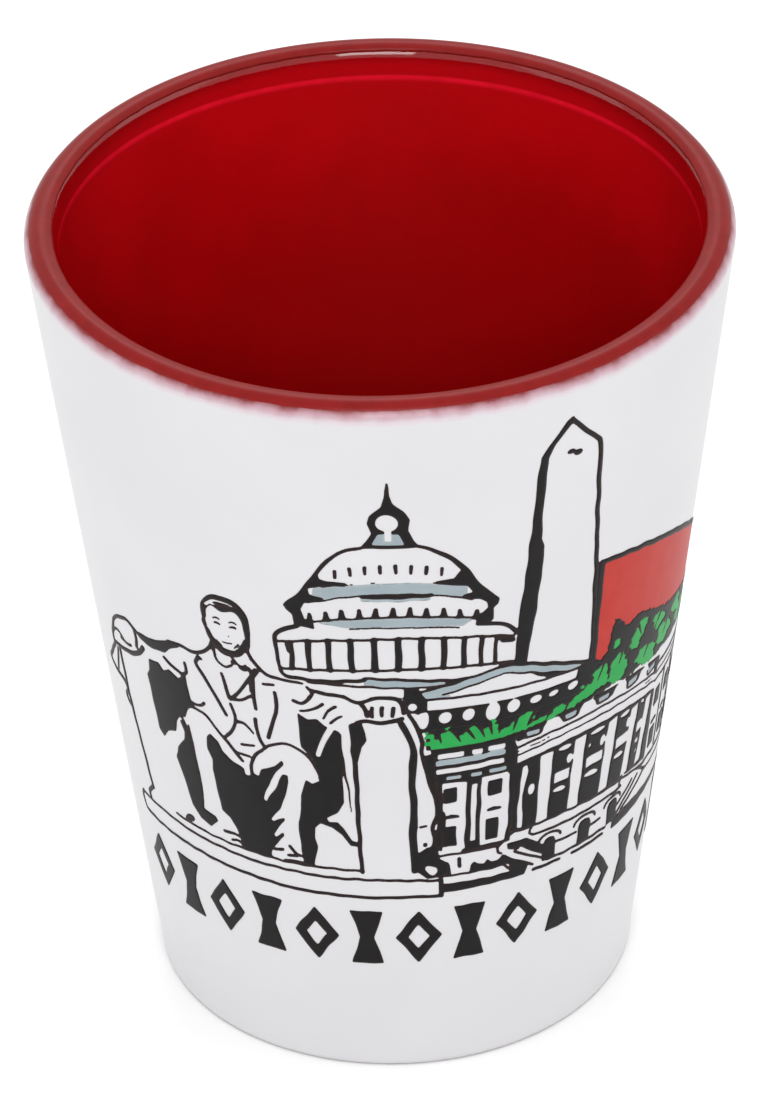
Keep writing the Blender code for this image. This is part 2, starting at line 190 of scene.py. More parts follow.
@dataclass(frozen=True)
class RedEnamel:
    """Sprayed red enamel, cured: one deep red, with painted shade that darkens the wall deep in the well
    and painted light that lightens it towards the mouth, a painted light band just below the lip with a
    thin painted caustic ring in it, where the lip's round glass gathers light on to the coat, and a dull
    dark red over the lip, where no white backs it. Its fine grain and short runs take the mirror out of
    its shine.
    """

    # low, middle and high: painted shade and painted light on one even red, darker deep in the well,
    # lighter towards the mouth
    low: str = "#A80003"
    middle: str = "#B20005"
    high: str = "#CD000D"
    # painted light: a lighter band below the lip and a thin painted caustic ring in it, light that the
    # lip's round glass gathers on to the coat
    painted_rim_light: str = "#CC0010"
    ring: str = "#FF1434"
    lip: str = "#7D100F"
    lip_light: str = "#861413"
    roughness: float = 0.45
    gloss: float = 0.1
    lip_coat: float = 0.15
    lip_coat_roughness: float = 0.2
    mottle_mm: float = 9.0
    drift_mm: float = 5.0
    # heights where the painted shade is darkest and the painted light is strongest
    shade_darkest_mm: float = 20.0
    light_brightest_mm: float = 60.0
    run_mm: float = 1.1
    run_stretch: tuple[float, float, float] = (1.0, 1.0, 0.12)
    run_share: float = 0.7
    grain_mm: float = 0.6
    grain_depth_mm: float = 0.004
    # heights of the painted light band and its painted caustic ring
    painted_ring_from_mm: float = 56.1
    painted_ring_to_mm: float = 58.2
    lip_from_mm: float = 58.9
    lip_to_mm: float = 59.2

    def build(self) -> bpy.types.Material:
        """Make the material; the height, a little broken up, picks the zone."""
        material, tree, shader = new_material("red_enamel_sprayed", {
            "Roughness": self.roughness, "Specular IOR Level": self.gloss,
            "Coat Roughness": self.lip_coat_roughness})
        place = add_node(tree, "TexCoord").outputs["Object"]
        height = add_node(tree, "SeparateXYZ", links={"Vector": place}).outputs["Z"]
        runs = object_noise(tree, self.run_mm, 3.0, self.run_stretch)
        drift = add_node(tree, "MapRange",
                         {"From Min": NOISE_LOW, "From Max": NOISE_HIGH,
                          "To Min": -self.drift_mm * MM, "To Max": self.drift_mm * MM},
                         {"Value": object_noise(tree, self.mottle_mm, 3.0)}).outputs["Result"]
        drifted = add_node(tree, "Math", {"operation": "ADD"}, {0: height, 1: drift})
        # painted shade and painted light by height: the wall's red runs from dark deep down to light at
        # the mouth
        depth = add_node(tree, "MapRange",
                         {"From Min": self.shade_darkest_mm * MM, "From Max": self.light_brightest_mm * MM},
                         {"Value": drifted.outputs[0]}).outputs["Result"]
        wall = add_node(tree, "ValToRGB",
                        {"stops": [(0.3, self.low), (0.62, self.middle), (0.94, self.high)]},
                        {"Fac": depth}).outputs["Color"]
        # painted light below the lip: a lighter band with a painted caustic ring, broken into streaks by
        # the runs
        zone = add_node(tree, "MapRange",
                        {"From Min": self.painted_ring_from_mm * MM, "From Max": self.painted_ring_to_mm * MM},
                        {"Value": height}).outputs["Result"]
        band = add_node(tree, "ValToRGB",
                        {"stops": [(0.0, self.high), (0.3, self.painted_rim_light), (0.42, self.ring),
                                   (0.5, self.ring), (0.56, self.painted_rim_light), (0.9, self.painted_rim_light)]},
                        {"Fac": zone}).outputs["Color"]
        within = add_node(tree, "ValToRGB",
                          {"stops": [(0.0, "#000000"), (0.3, "#FFFFFF")]},
                          {"Fac": zone}).outputs["Color"]
        streaks = add_node(tree, "MapRange",
                           {"From Min": 0.35, "From Max": 0.65, "To Min": self.run_share, "To Max": 1.0},
                           {"Value": runs}).outputs["Result"]
        share = add_node(tree, "Math", {"operation": "MULTIPLY"}, {0: within, 1: streaks})
        painted_light_colour = add_node(tree, "Mix", {"data_type": "RGBA"},
                        {0: share.outputs[0], 6: wall, 7: band}).outputs[2]
        lip = add_node(tree, "ValToRGB",
                       {"stops": [(NOISE_LOW, self.lip), (NOISE_HIGH, self.lip_light)]},
                       {"Fac": runs}).outputs["Color"]
        on_lip = add_node(tree, "MapRange",
                          {"From Min": self.lip_from_mm * MM, "From Max": self.lip_to_mm * MM},
                          {"Value": height}).outputs["Result"]
        colour = add_node(tree, "Mix", {"data_type": "RGBA"}, {0: on_lip, 6: painted_light_colour, 7: lip})
        tree.links.new(colour.outputs[2], shader.inputs["Base Color"])
        coat = add_node(tree, "Math", {"operation": "MULTIPLY", 1: self.lip_coat},
                        {0: on_lip})
        tree.links.new(coat.outputs[0], shader.inputs["Coat Weight"])
        grain = object_noise(tree, self.grain_mm, 2.0)
        grained = add_node(tree, "Bump", {"Distance": self.grain_depth_mm * MM},
                           {"Height": grain})
        tree.links.new(grained.outputs["Normal"], shader.inputs["Normal"])
        return material


@dataclass(frozen=True)
class WhiteEnamel:
    """Sprayed white enamel over the red: opaque on the wall, with a faint orange peel that softens its
    shine, and thinning to a soft pink at its edge."""

    white: str = "#CFCED0"
    shade: str = "#CBCACD"
    veil: str = "#CBBEC4"
    fringe: str = "#B48B96"
    through: str = "#7C1A1D"
    roughness: float = 0.36
    fade_start_mm: float = 58.6
    fade_end_mm: float = 59.78
    fringe_share: float = 0.12
    patch_mm: float = 1.6
    ragged_mm: float = 0.12
    mottle_mm: float = 11.0
    peel_mm: float = 0.9
    peel_depth_mm: float = 0.006

    def build(self) -> bpy.types.Material:
        """Make the material; height, broken up by spray noise, sets how much red shows through."""
        material, tree, shader = new_material("white_enamel_sprayed", {"Roughness": self.roughness})
        place = add_node(tree, "TexCoord").outputs["Object"]
        height = add_node(tree, "SeparateXYZ", links={"Vector": place}).outputs["Z"]
        patches = object_noise(tree, self.patch_mm, 5.0)
        drift = add_node(tree, "MapRange",
                         {"From Min": NOISE_LOW, "From Max": NOISE_HIGH,
                          "To Min": -self.ragged_mm * MM, "To Max": self.ragged_mm * MM},
                         {"Value": patches}).outputs["Result"]
        ragged = add_node(tree, "Math", {"operation": "ADD"}, {0: height, 1: drift})
        thin = add_node(tree, "MapRange",
                        {"From Min": self.fade_start_mm * MM, "From Max": self.fade_end_mm * MM},
                        {"Value": ragged.outputs[0]}).outputs["Result"]
        edge = add_node(tree, "ValToRGB",
                        {"stops": [(0.0, self.white), (0.36, self.veil), (0.7, self.fringe),
                                   (0.95, self.through)]}, {"Fac": thin}).outputs["Color"]
        mottle = object_noise(tree, self.mottle_mm, 3.0)
        wall = add_node(tree, "ValToRGB",
                        {"stops": [(NOISE_LOW, self.shade), (NOISE_HIGH, self.white)]},
                        {"Fac": mottle}).outputs["Color"]
        share = add_node(tree, "MapRange", {"From Min": 0.0, "From Max": self.fringe_share},
                         {"Value": thin}).outputs["Result"]
        colour = add_node(tree, "Mix", {"data_type": "RGBA"}, {0: share, 6: wall, 7: edge})
        tree.links.new(colour.outputs[2], shader.inputs["Base Color"])
        peel = object_noise(tree, self.peel_mm, 2.0)
        peeled = add_node(tree, "Bump", {"Distance": self.peel_depth_mm * MM},
                          {"Height": peel})
        tree.links.new(peeled.outputs["Normal"], shader.inputs["Normal"])
        return material


@dataclass(frozen=True)
class PrintedInk:
    """Screen-printed ink, cured: satin, a little uneven, and thinner in colour along its edges."""

    name: str
    body: str
    mottled: str
    edge: str
    roughness: float = 0.42
    gloss: float = 0.14
    mottle_mm: float = 1.4
    grain_mm: float = 0.25
    grain_depth_mm: float = 0.003

    def build(self) -> bpy.types.Material:
        """Make the material; the films' own attribute `ink_body` is 0 at an edge and 1 inside."""
        material, tree, shader = new_material(self.name, {
            "Roughness": self.roughness, "Specular IOR Level": self.gloss})
        mottle = object_noise(tree, self.mottle_mm, 4.0)
        inside = add_node(tree, "ValToRGB",
                          {"stops": [(0.35, self.body), (0.7, self.mottled)]},
                          {"Fac": mottle}).outputs["Color"]
        body = add_node(tree, "Attribute", {"attribute_name": "ink_body"}).outputs["Fac"]
        colour = add_node(tree, "Mix", {"data_type": "RGBA", 6: linear(self.edge)},
                          {0: body, 7: inside})
        tree.links.new(colour.outputs[2], shader.inputs["Base Color"])
        grain = object_noise(tree, self.grain_mm, 2.0)
        grained = add_node(tree, "Bump", {"Distance": self.grain_depth_mm * MM},
                           {"Height": grain})
        tree.links.new(grained.outputs["Normal"], shader.inputs["Normal"])
        return material


@dataclass(frozen=True)
class StudioPaper:
    """Matt white background paper, rolled: even and without shine."""

    dark: str = "#FBFBFB"
    light: str = "#FDFDFD"
    roughness: float = 0.9
    cloud_mm: float = 40.0

    def build(self) -> bpy.types.Material:
        """Make the material."""
        material, tree, shader = new_material("studio_paper", {"Roughness": self.roughness})
        cloud = object_noise(tree, self.cloud_mm, 2.0)
        colour = add_node(tree, "ValToRGB",
                          {"stops": [(NOISE_LOW, self.dark), (NOISE_HIGH, self.light)]},
                          {"Fac": cloud})
        tree.links.new(colour.outputs["Color"], shader.inputs["Base Color"])
        return material


# ---- Meshes from arrays ----
def mesh_object(name: str, vertices: np.ndarray, quads: np.ndarray,
                triangles: np.ndarray | None = None) -> bpy.types.Object:
    """Put arrays of vertices and faces into a new smooth-shaded mesh object.

    Args:
        name: the piece's name.
        vertices: (n, 3) positions in metres.
        quads: (m, 4) vertex indices, counter-clockwise from outside.
        triangles: (k, 3) vertex indices, or None.

    Returns:
        The object, linked to the scene, at the origin.
    """
    triangles = np.zeros((0, 3), int) if triangles is None else triangles
    sizes = np.concatenate([np.full(len(quads), 4), np.full(len(triangles), 3)])
    corners = np.concatenate([quads.ravel(), triangles.ravel()])
    mesh = bpy.data.meshes.new(name)
    mesh.vertices.add(len(vertices))
    mesh.vertices.foreach_set("co", vertices.astype(np.float32).ravel())
    mesh.loops.add(len(corners))
    mesh.loops.foreach_set("vertex_index", corners.astype(np.int32))
    mesh.polygons.add(len(sizes))
    mesh.polygons.foreach_set("loop_start", (np.cumsum(sizes) - sizes).astype(np.int32))
    mesh.polygons.foreach_set("loop_total", sizes.astype(np.int32))
    mesh.update(calc_edges=True)
    mesh.validate()
    mesh.shade_smooth()
    obj = bpy.data.objects.new(name, mesh)
    bpy.context.scene.collection.objects.link(obj)
    return obj


def ring_quads(rows: int, columns: int, closed: bool) -> np.ndarray:
    """Faces of a grid whose columns run round an axis.

    Args:
        rows: number of rings.
        columns: points in each ring; the last joins the first.
        closed: whether the last ring joins the first one too.

    Returns:
        (m, 4) indices of a grid stored ring by ring, facing outwards where the rings run downwards
        on the outside.
    """
    row = np.arange(rows if closed else rows - 1)[:, None]
    column = np.arange(columns)[None, :]
    after = (row + 1) % rows
    beside = (column + 1) % columns
    faces = np.stack([row * columns + column, after * columns + column, after * columns + beside,
                      row * columns + beside], axis=-1)
    return faces.reshape(-1, 4)


def arc_points(centre: tuple[float, float], radius: float | np.ndarray, start: float,
               end: float | np.ndarray, steps: int) -> np.ndarray:
    """Points on an arc: centre + radius * (cos a, sin a), a from start to end in equal steps.

    Args:
        centre: (radius from the axis, height).
        radius: of the arc.
        start: first angle in degrees.
        end: last angle in degrees.
        steps: number of steps.

    Returns:
        (steps + 1, 2) points.
    """
    angle = np.radians(np.linspace(start, end, steps + 1))
    return np.stack([centre[0] + radius * np.cos(angle), centre[1] + radius * np.sin(angle)], axis=-1)


def waves(angle: np.ndarray, seed: int, terms: Sequence[int]) -> np.ndarray:
    """A smooth ragged line round the glass: a sum of cosines with seeded phases, within about +-1.

    Args:
        angle: radians round the axis.
        seed: of the phases and weights.
        terms: whole numbers of waves in one turn.

    Returns:
        The line's value at each angle.
    """
    rng = np.random.default_rng(seed)
    phases = rng.uniform(0.0, math.tau, len(terms))
    weights = rng.uniform(0.4, 1.0, len(terms))
    total = (weights[:, None] * np.cos(np.outer(terms, angle) + phases[:, None])).sum(0)
    return total / weights.sum()


# ---- The glass and its coats ----
@dataclass
class Wall:
    """The coated outside wall: a cone, the surface that the print lies on. Sizes in metres."""

    foot_radius: float = 0.01675
    height: float = field(default_factory=lambda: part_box("glass_tumbler")[1].z)
    topcoat_top: float = field(default_factory=lambda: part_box("white_topcoat")[1].z)
    topcoat_radius: float = field(default_factory=lambda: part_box("white_topcoat")[1].x)

    @property
    def taper(self) -> float:
        """Growth of the radius for each metre of height."""
        return (self.topcoat_radius - self.foot_radius) / self.topcoat_top

    @property
    def lean(self) -> float:
        """Angle of the wall from upright, in radians."""
        return math.atan(self.taper)

    def radius(self, height: float | np.ndarray) -> float | np.ndarray:
        """Radius of the coated wall at a height."""
        return self.foot_radius + self.taper * height

    def place(self, degrees: np.ndarray, height: np.ndarray, lift: np.ndarray) -> np.ndarray:
        """Wrap flat drawing points on the wall.

        Each point goes to the cone's radius at its height plus its lift along the surface normal, at
        its angle from the -Y direction, which the print faces.

        Args:
            degrees: angles round the wall.
            height: heights in metres.
            lift: distances outside the topcoat in metres.

        Returns:
            (n, 3) positions.
        """
        angle = np.radians(degrees) - math.pi / 2
        radius = self.radius(height) + lift * math.cos(self.lean)
        rise = height - lift * math.sin(self.lean)
        return np.stack([radius * np.cos(angle), radius * np.sin(angle), rise], axis=-1)


@dataclass
class Tumbler:
    """The pressed glass with its two sprayed enamels. Sizes in metres."""

    wall: Wall
    lip_wall: float = 0.0019
    floor_wall: float = 0.0030
    well_floor: float = 0.0100
    well_corner: float = 0.0030
    well_dish: float = 0.0002
    heel: float = 0.0007
    ring_width: float = 0.0030
    punt: float = 0.0007
    punt_chamfer: float = 0.0010
    glass_depth: float = 0.00028
    topcoat: float = 0.00013
    contact: float = 0.00001
    floor_clearance: float = 0.00008
    red_stop: float = 139.0
    white_stop: float = 38.0
    ragged: float = 3.0
    soft_share: float = 0.1
    soft_end: float = 0.94
    columns: int = 360
    floor_steps: int = 13
    corner_steps: int = 16
    lip_steps: int = 40
    heel_steps: int = 14
    punt_steps: int = 8
    under_steps: int = 9
    wall_steps: int = 24
    coat_heel_steps: int = 8
    coat_wall_steps: int = 30
    fade_steps: int = 16

    @property
    def angles(self) -> np.ndarray:
        """Angle of each column round the axis, in radians."""
        return np.linspace(0.0, math.tau, self.columns, endpoint=False)

    @property
    def lip_centre(self) -> tuple[float, float]:
        """Centre of the lip's round, tangent to the outside of the glass wall."""
        rise = self.wall.height - self.lip_wall / 2
        reach = (self.lip_wall / 2 + self.glass_depth) / math.cos(self.wall.lean)
        return self.wall.radius(rise) - reach, rise

    @property
    def heel_centre(self) -> tuple[float, float]:
        """Centre of the heel's round, tangent to the outside of the glass wall."""
        reach = (self.heel + self.glass_depth) / math.cos(self.wall.lean)
        return self.wall.radius(self.heel) - reach, self.heel

    @property
    def heel_stop(self) -> float:
        """Angle on the heel, in degrees, where the coats stop just clear of the floor."""
        return -math.degrees(math.asin((self.heel - self.floor_clearance)
                                       / (self.heel + self.glass_depth)))

    def well(self) -> tuple[np.ndarray, float]:
        """Inside of the glass from the axis to the lip: dished floor, corner fillet.

        Returns:
            (n, 2) points and the inner wall's lean in degrees.
        """
        lean_out = math.cos(self.wall.lean)
        floor = self.wall.radius(self.well_floor) - self.glass_depth / lean_out - self.floor_wall
        top = self.lip_centre[0] - self.lip_wall / 2
        taper = (top - floor) / (self.lip_centre[1] - self.well_floor)
        lean = math.atan(taper)
        centre = (floor + taper * self.well_corner - self.well_corner / math.cos(lean),
                  self.well_floor + self.well_corner)
        share = np.linspace(0.0, 1.0, self.floor_steps + 1)[:-1]
        dish = np.stack([centre[0] * share, self.well_floor - self.well_dish * (1 - share ** 2)], -1)
        corner = arc_points(centre, self.well_corner, -90.0, -math.degrees(lean), self.corner_steps)
        return np.concatenate([dish, corner]), math.degrees(lean)

    def glass_profile(self) -> np.ndarray:
        """Profile of the glass: up the well, over the lip, down the wall and in under the foot."""
        inside, well_lean = self.well()
        lip = arc_points(self.lip_centre, self.lip_wall / 2, 180.0 - well_lean,
                         -math.degrees(self.wall.lean), self.lip_steps)
        heel = arc_points(self.heel_centre, self.heel, -math.degrees(self.wall.lean), -90.0,
                          self.heel_steps)
        ring_inner = self.heel_centre[0] - self.ring_width
        edge = np.linspace(0.0, 1.0, self.punt_steps + 1)
        slope = np.stack([ring_inner - self.punt_chamfer * edge,
                          self.punt * (3 * edge ** 2 - 2 * edge ** 3)], -1)
        middle = np.linspace(slope[-1][0], 0.0, self.under_steps + 1)[1:]
        under = np.stack([middle, np.full_like(middle, self.punt)], -1)
        inner_wall = self.between(inside[-1], lip[0], self.wall_steps)
        outer_wall = self.between(lip[-1], heel[0], self.wall_steps)
        return np.concatenate([inside, inner_wall, lip, outer_wall, heel, slope, under])

    @staticmethod
    def between(start: np.ndarray, end: np.ndarray, steps: int) -> np.ndarray:
        """Points on a straight run, both ends left out."""
        share = np.linspace(0.0, 1.0, steps + 1)[1:-1, None]
        return start + (end - start) * share

    def glass(self) -> bpy.types.Object:
        """Turn the glass: radius and height from the profile, angle from the column."""
        profile = self.glass_profile()
        body = profile[1:-1]
        grid = np.stack([np.outer(body[:, 0], np.cos(self.angles)),
                         np.outer(body[:, 0], np.sin(self.angles)),
                         np.repeat(body[:, 1:], self.columns, axis=1)], axis=-1)
        poles = np.array([[0.0, 0.0, profile[0][1]], [0.0, 0.0, profile[-1][1]]])
        vertices = np.concatenate([grid.reshape(-1, 3), poles])
        column = np.arange(self.columns)
        beside = (column + 1) % self.columns
        last = (len(body) - 1) * self.columns
        first_pole, last_pole = len(vertices) - 2, len(vertices) - 1
        caps = np.concatenate([
            np.stack([np.full(self.columns, first_pole), column, beside], -1),
            np.stack([last + column, np.full(self.columns, last_pole), last + beside], -1)])
        return mesh_object("glass_tumbler_body", vertices, ring_quads(len(body), self.columns, False),
                           caps)

    def skin(self, name: str, inner: np.ndarray, outer: np.ndarray) -> bpy.types.Object:
        """A closed skin between two surfaces of revolution with ragged edges.

        The skin goes up the inner surface and down the outer one.

        Args:
            name: the piece's name.
            inner: (rows, columns, 2) radii and heights next to the glass, from the foot up.
            outer: the same for the surface that faces out.

        Returns:
            The object.
        """
        grid = np.concatenate([inner, outer[::-1]])
        vertices = np.stack([grid[..., 0] * np.cos(self.angles), grid[..., 0] * np.sin(self.angles),
                             grid[..., 1]], axis=-1)
        return mesh_object(name, vertices.reshape(-1, 3), ring_quads(len(grid), self.columns, True))

    def coat(self, depth: float, stop: np.ndarray, share: np.ndarray,
             radius: np.ndarray) -> np.ndarray:
        """A coat's surface from the foot up: heel arc, straight wall, then an arc round the lip.

        A point of the last arc lies at its radius from the lip's centre, at an angle that runs from
        the wall's own to the stop in the row's share.

        Args:
            depth: of the heel and the wall inside the outer form, in metres.
            stop: (columns,) last angle of the arc, in degrees.
            share: (rows, 1) shares of the arc, from 0 to 1.
            radius: (rows, 1) radii of the arc, in metres.

        Returns:
            (rows, columns, 2) radii and heights.
        """
        start = -math.degrees(self.wall.lean)
        turn = np.radians(start + (stop - start)[None, :] * share)
        lip = np.stack([self.lip_centre[0] + radius * np.cos(turn),
                        self.lip_centre[1] + radius * np.sin(turn)], axis=-1)
        heel = arc_points(self.heel_centre, self.heel + self.glass_depth - depth, self.heel_stop,
                          start, self.coat_heel_steps)
        wall = self.between(heel[-1], lip[0, 0], self.coat_wall_steps)
        below = np.concatenate([heel, wall])
        return np.concatenate([np.repeat(below[:, None, :], self.columns, axis=1), lip])

    def undercoat(self, depth: float) -> np.ndarray:
        """The red enamel's surface `depth` inside the outer form: heel, wall, and over the lip.

        The lip part ends at red_stop, moved up and down by a ragged line. Over its last tenth the film
        thins in a quarter circle, so that it ends in a soft edge on the glass.
        """
        stop = self.red_stop + self.ragged * waves(self.angles, 2, (3, 7, 16, 33, 61, 97))
        share = np.linspace(0.0, 1.0, self.lip_steps + 1)[:, None]
        left = np.clip((1.0 - share) / self.soft_share, 0.0, 1.0)
        thin = self.soft_end * (1.0 - np.sqrt(left * (2.0 - left)))
        full = self.glass_depth + self.contact
        radius = self.lip_wall / 2 + self.glass_depth - (depth + (full - depth) * thin)
        return self.coat(depth, stop, share, radius)

    def overcoat(self, depth: float) -> np.ndarray:
        """The white enamel's surface: heel and wall, then a last stretch that thins to nothing.

        On the lip, up to the ragged angle white_stop, its depth runs smoothly from `depth` to the
        depth of the red enamel below it.
        """
        stop = self.white_stop + self.ragged * waves(self.angles, 5, (4, 9, 21, 47, 80))
        share = np.linspace(0.0, 1.0, self.fade_steps + 1)[:, None]
        soft = share ** 2 * (3 - 2 * share)
        radius = self.lip_wall / 2 + self.glass_depth - depth - (self.topcoat - depth) * soft
        return self.coat(depth, stop, share, radius)

    def build(self, materials: dict[Slot, bpy.types.Material]) -> None:
        """Make the glass and both coats, dress them and hand them to the frame."""
        glass = self.glass()
        glass.visible_shadow = False  # lamps reach the enamel behind the glass, as they do in life
        dress(glass, Slot.CLEAR_GLASS, materials, "glass_tumbler")
        red = self.skin("red_enamel_skin", self.undercoat(self.glass_depth + self.contact),
                        self.undercoat(self.topcoat))
        dress(red, Slot.RED_ENAMEL, materials, "red_undercoat")
        white = self.skin("white_enamel_skin", self.overcoat(self.topcoat - self.contact),
                          self.overcoat(0.0))
        dress(white, Slot.WHITE_ENAMEL, materials, "white_topcoat")


def dress(obj: bpy.types.Object, slot: Slot, materials: dict[Slot, bpy.types.Material],
          *nodes: str) -> None:
    """Give a piece its finish, fix it to the part and say which solids it stands for.

    Args:
        obj: the piece.
        slot: the record's material slot.
        materials: every finish by slot.
        nodes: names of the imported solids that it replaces.
    """
    obj.data.materials.append(materials[slot])
    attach(obj, "root")
    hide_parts(*nodes)
    LOG.info("%s: %d faces, stands for %s", obj.name, len(obj.data.polygons), ", ".join(nodes))


# ---- Drawing on the wall ----
MM_PER_DEGREE = 0.358  # along the wall at the middle of the print; keeps round drawn shapes round


class Ink(Enum):
    """The four printing screens."""

    TINT = "tint"
    RED = "red"
    GREEN = "green"
    BLACK = "black"


class Motif(Enum):
    """Parts of the picture that become pieces of their own in the black film."""

    OBELISK = 1
    DOME = 2
    PORTICO = 3
    PANEL = 4
    FOLIAGE = 5
    HALL = 6
    STATUE = 7
    PLINTH = 8
    BAND = 9


def curve(points: Points, closed: bool = False, steps: int = 6) -> np.ndarray:
    """Catmull-Rom curve through drawn points: cubic pieces whose slope at each point is half the
    difference of its neighbours.

    Args:
        points: (degrees, mm) pairs.
        closed: whether the last point joins the first.
        steps: pieces between neighbouring points.

    Returns:
        (n, 2) points.
    """
    known = np.asarray(points, float)
    count = len(known)
    wanted = np.arange(count if closed else count - 1)[None, :] + np.arange(-1, 3)[:, None]
    wanted = wanted % count if closed else np.clip(wanted, 0, count - 1)
    before, start, end, after = known[wanted][:, :, None]
    t = np.linspace(0.0, 1.0, steps, endpoint=False)[None, :, None]
    rows = 0.5 * (2 * start + (end - before) * t + (2 * before - 5 * start + 4 * end - after) * t ** 2
                  + (3 * start - before - 3 * end + after) * t ** 3)
    line = rows.reshape(-1, 2)
    return line if closed else np.concatenate([line, known[-1:]])


def bow(left: float, right: float, height: float, middle: float, drop: float,
        steps: int = 14) -> list[tuple[float, float]]:
    """A flat bow: height - drop * (degrees - middle) ** 2.

    Args:
        left: first degree.
        right: last degree.
        height: at the bow's middle, in mm.
        middle: degree of the bow's highest point.
        drop: mm for each square degree.
        steps: pieces.

    Returns:
        (degrees, mm) pairs.
    """
    return [(d, height - drop * (d - middle) ** 2) for d in np.linspace(left, right, steps + 1)]


def box(left: float, right: float, low: float, high: float) -> list[tuple[float, float]]:
    """Corners of an upright rectangle, in degrees and mm."""
    return [(left, low), (right, low), (right, high), (left, high)]


def oval(degree: float, height: float, half_width: float, half_height: float,
         steps: int = 20) -> list[tuple[float, float]]:
    """Points round an ellipse: centre + (half_width cos a, half_height sin a)."""
    angle = np.linspace(0.0, math.tau, steps, endpoint=False)
    return list(zip(degree + half_width * np.cos(angle), height + half_height * np.sin(angle)))


class Drawing:
    """Signed depth of ink on a grid, one layer for each screen.

    Depth is in mm: above 0 inside the ink and growing away from its edge, below 0 on bare enamel. The
    grid's sample places are pulled about a little by slow waves, so drawn edges wander as a hand's do.
    """

    WANDER_MM = 0.035
    WANDER_LENGTHS_MM = (1.7, 1.5)
    ROUGH_LENGTH_MM = 0.75
    SHAPE_MARGIN_MM = 0.6
    LINE_MARGIN_MM = 0.9

    def __init__(self, left: float, right: float, low: float, high: float, cell: float = 0.09) -> None:
        """Lay out the grid.

        Args:
            left: first degree.
            right: last degree.
            low: lowest mm.
            high: highest mm.
            cell: mm between grid lines.
        """
        self.cell = cell
        self.across = np.arange(left * MM_PER_DEGREE, right * MM_PER_DEGREE, cell)
        self.up = np.arange(low, high, cell)
        grid_u, grid_v = np.meshgrid(self.across, self.up)
        self.u = grid_u + self.WANDER_MM * self.waves(grid_u, grid_v, self.WANDER_LENGTHS_MM[0], 3)
        self.v = grid_v + self.WANDER_MM * self.waves(grid_u, grid_v, self.WANDER_LENGTHS_MM[1], 4)
        self.rough = self.waves(grid_u, grid_v, self.ROUGH_LENGTH_MM, 6)
        self.depth = {ink: np.full(grid_u.shape, -1.0) for ink in Ink}
        self.owner = np.zeros(grid_u.shape, int)
        self.motif = Motif.BAND

    @staticmethod
    def waves(u: np.ndarray, v: np.ndarray, size: float, seed: int) -> np.ndarray:
        """Smooth noise of about +-1: six plane waves about `size` mm long in seeded directions."""
        rng = np.random.default_rng(seed)
        total = np.zeros_like(u)
        for turn, phase, stretch in zip(rng.uniform(0, math.pi, 6), rng.uniform(0, math.tau, 6),
                                        rng.uniform(0.7, 1.5, 6)):
            total += np.sin((u * math.cos(turn) + v * math.sin(turn)) * math.tau / (size * stretch)
                            + phase)
        return total / 2.5

    def window(self, line: np.ndarray, margin: float) -> Area:
        """Rows and columns of the grid within `margin` mm of a line."""
        low, high = line.min(0) - margin, line.max(0) + margin
        columns = slice(*np.searchsorted(self.across, [low[0], high[0]]))
        rows = slice(*np.searchsorted(self.up, [low[1], high[1]]))
        return rows, columns

    def distance(self, line: np.ndarray, area: Area, closed: bool,
                 widths: tuple[float, float] = (0.0, 0.0)) -> np.ndarray:
        """Signed distance to a line: half its width less the way to its nearest segment.

        For a closed line the sign says on which side: above 0 inside, by even-odd crossings.

        Args:
            line: (n, 2) points in mm.
            area: the part of the grid to fill.
            closed: whether the line bounds a shape.
            widths: of an open line at its start and end.

        Returns:
            The signed distance on that part of the grid.
        """
        u, v = self.u[area], self.v[area]
        best = np.full(u.shape, -9.0)
        inside = np.zeros(u.shape, bool)
        ends = np.roll(line, -1, 0) if closed else line[1:]
        starts = line if closed else line[:-1]
        half = np.linspace(widths[0], widths[1], len(starts) + 1) / 2
        for k, (start, end) in enumerate(zip(starts, ends)):
            run = end - start
            share = ((u - start[0]) * run[0] + (v - start[1]) * run[1]) / max(run @ run, 1e-9)
            share = np.clip(share, 0.0, 1.0)
            away = np.hypot(u - start[0] - share * run[0], v - start[1] - share * run[1])
            best = np.maximum(best, half[k] + (half[k + 1] - half[k]) * share - away)
            if closed and run[1] != 0.0:
                crosses = (start[1] > v) != (end[1] > v)
                inside ^= crosses & (u < start[0] + (v - start[1]) * run[0] / run[1])
        return np.where(inside, -best, best) if closed else best

    def paint(self, signed: np.ndarray, area: Area, ink: Ink) -> None:
        """Add a shape to one screen."""
        layer = self.depth[ink][area]
        if ink is Ink.BLACK:
            self.owner[area] = np.where(signed > np.maximum(layer, -0.2), self.motif.value,
                                        self.owner[area])
        np.maximum(layer, signed, out=layer)

    def take_away(self, signed: np.ndarray, area: Area, inks: Iterable[Ink]) -> None:
        """Cut a shape out of some screens."""
        for ink in inks:
            layer = self.depth[ink][area]
            np.minimum(layer, -signed, out=layer)

    def outline(self, points: Points, smooth: bool, closed: bool) -> np.ndarray:
        """Drawn points as a line in mm."""
        line = curve(points, closed) if smooth else np.asarray(points, float)
        return line * (MM_PER_DEGREE, 1.0)

    def shape(self, points: Points, smooth: bool, ragged: float = 0.0) -> tuple[np.ndarray, Area]:
        """Signed depth inside a drawn shape, and the part of the grid that holds it."""
        line = self.outline(points, smooth, True)
        area = self.window(line, self.SHAPE_MARGIN_MM)
        return self.distance(line, area, True) + ragged * self.rough[area], area

    def stroke(self, points: Points, width: float, end: float | None,
               smooth: bool) -> tuple[np.ndarray, Area]:
        """Signed depth inside a drawn line, and the part of the grid that holds it."""
        line = self.outline(points, smooth, False)
        area = self.window(line, self.LINE_MARGIN_MM)
        return self.distance(line, area, False, (width, width if end is None else end)), area

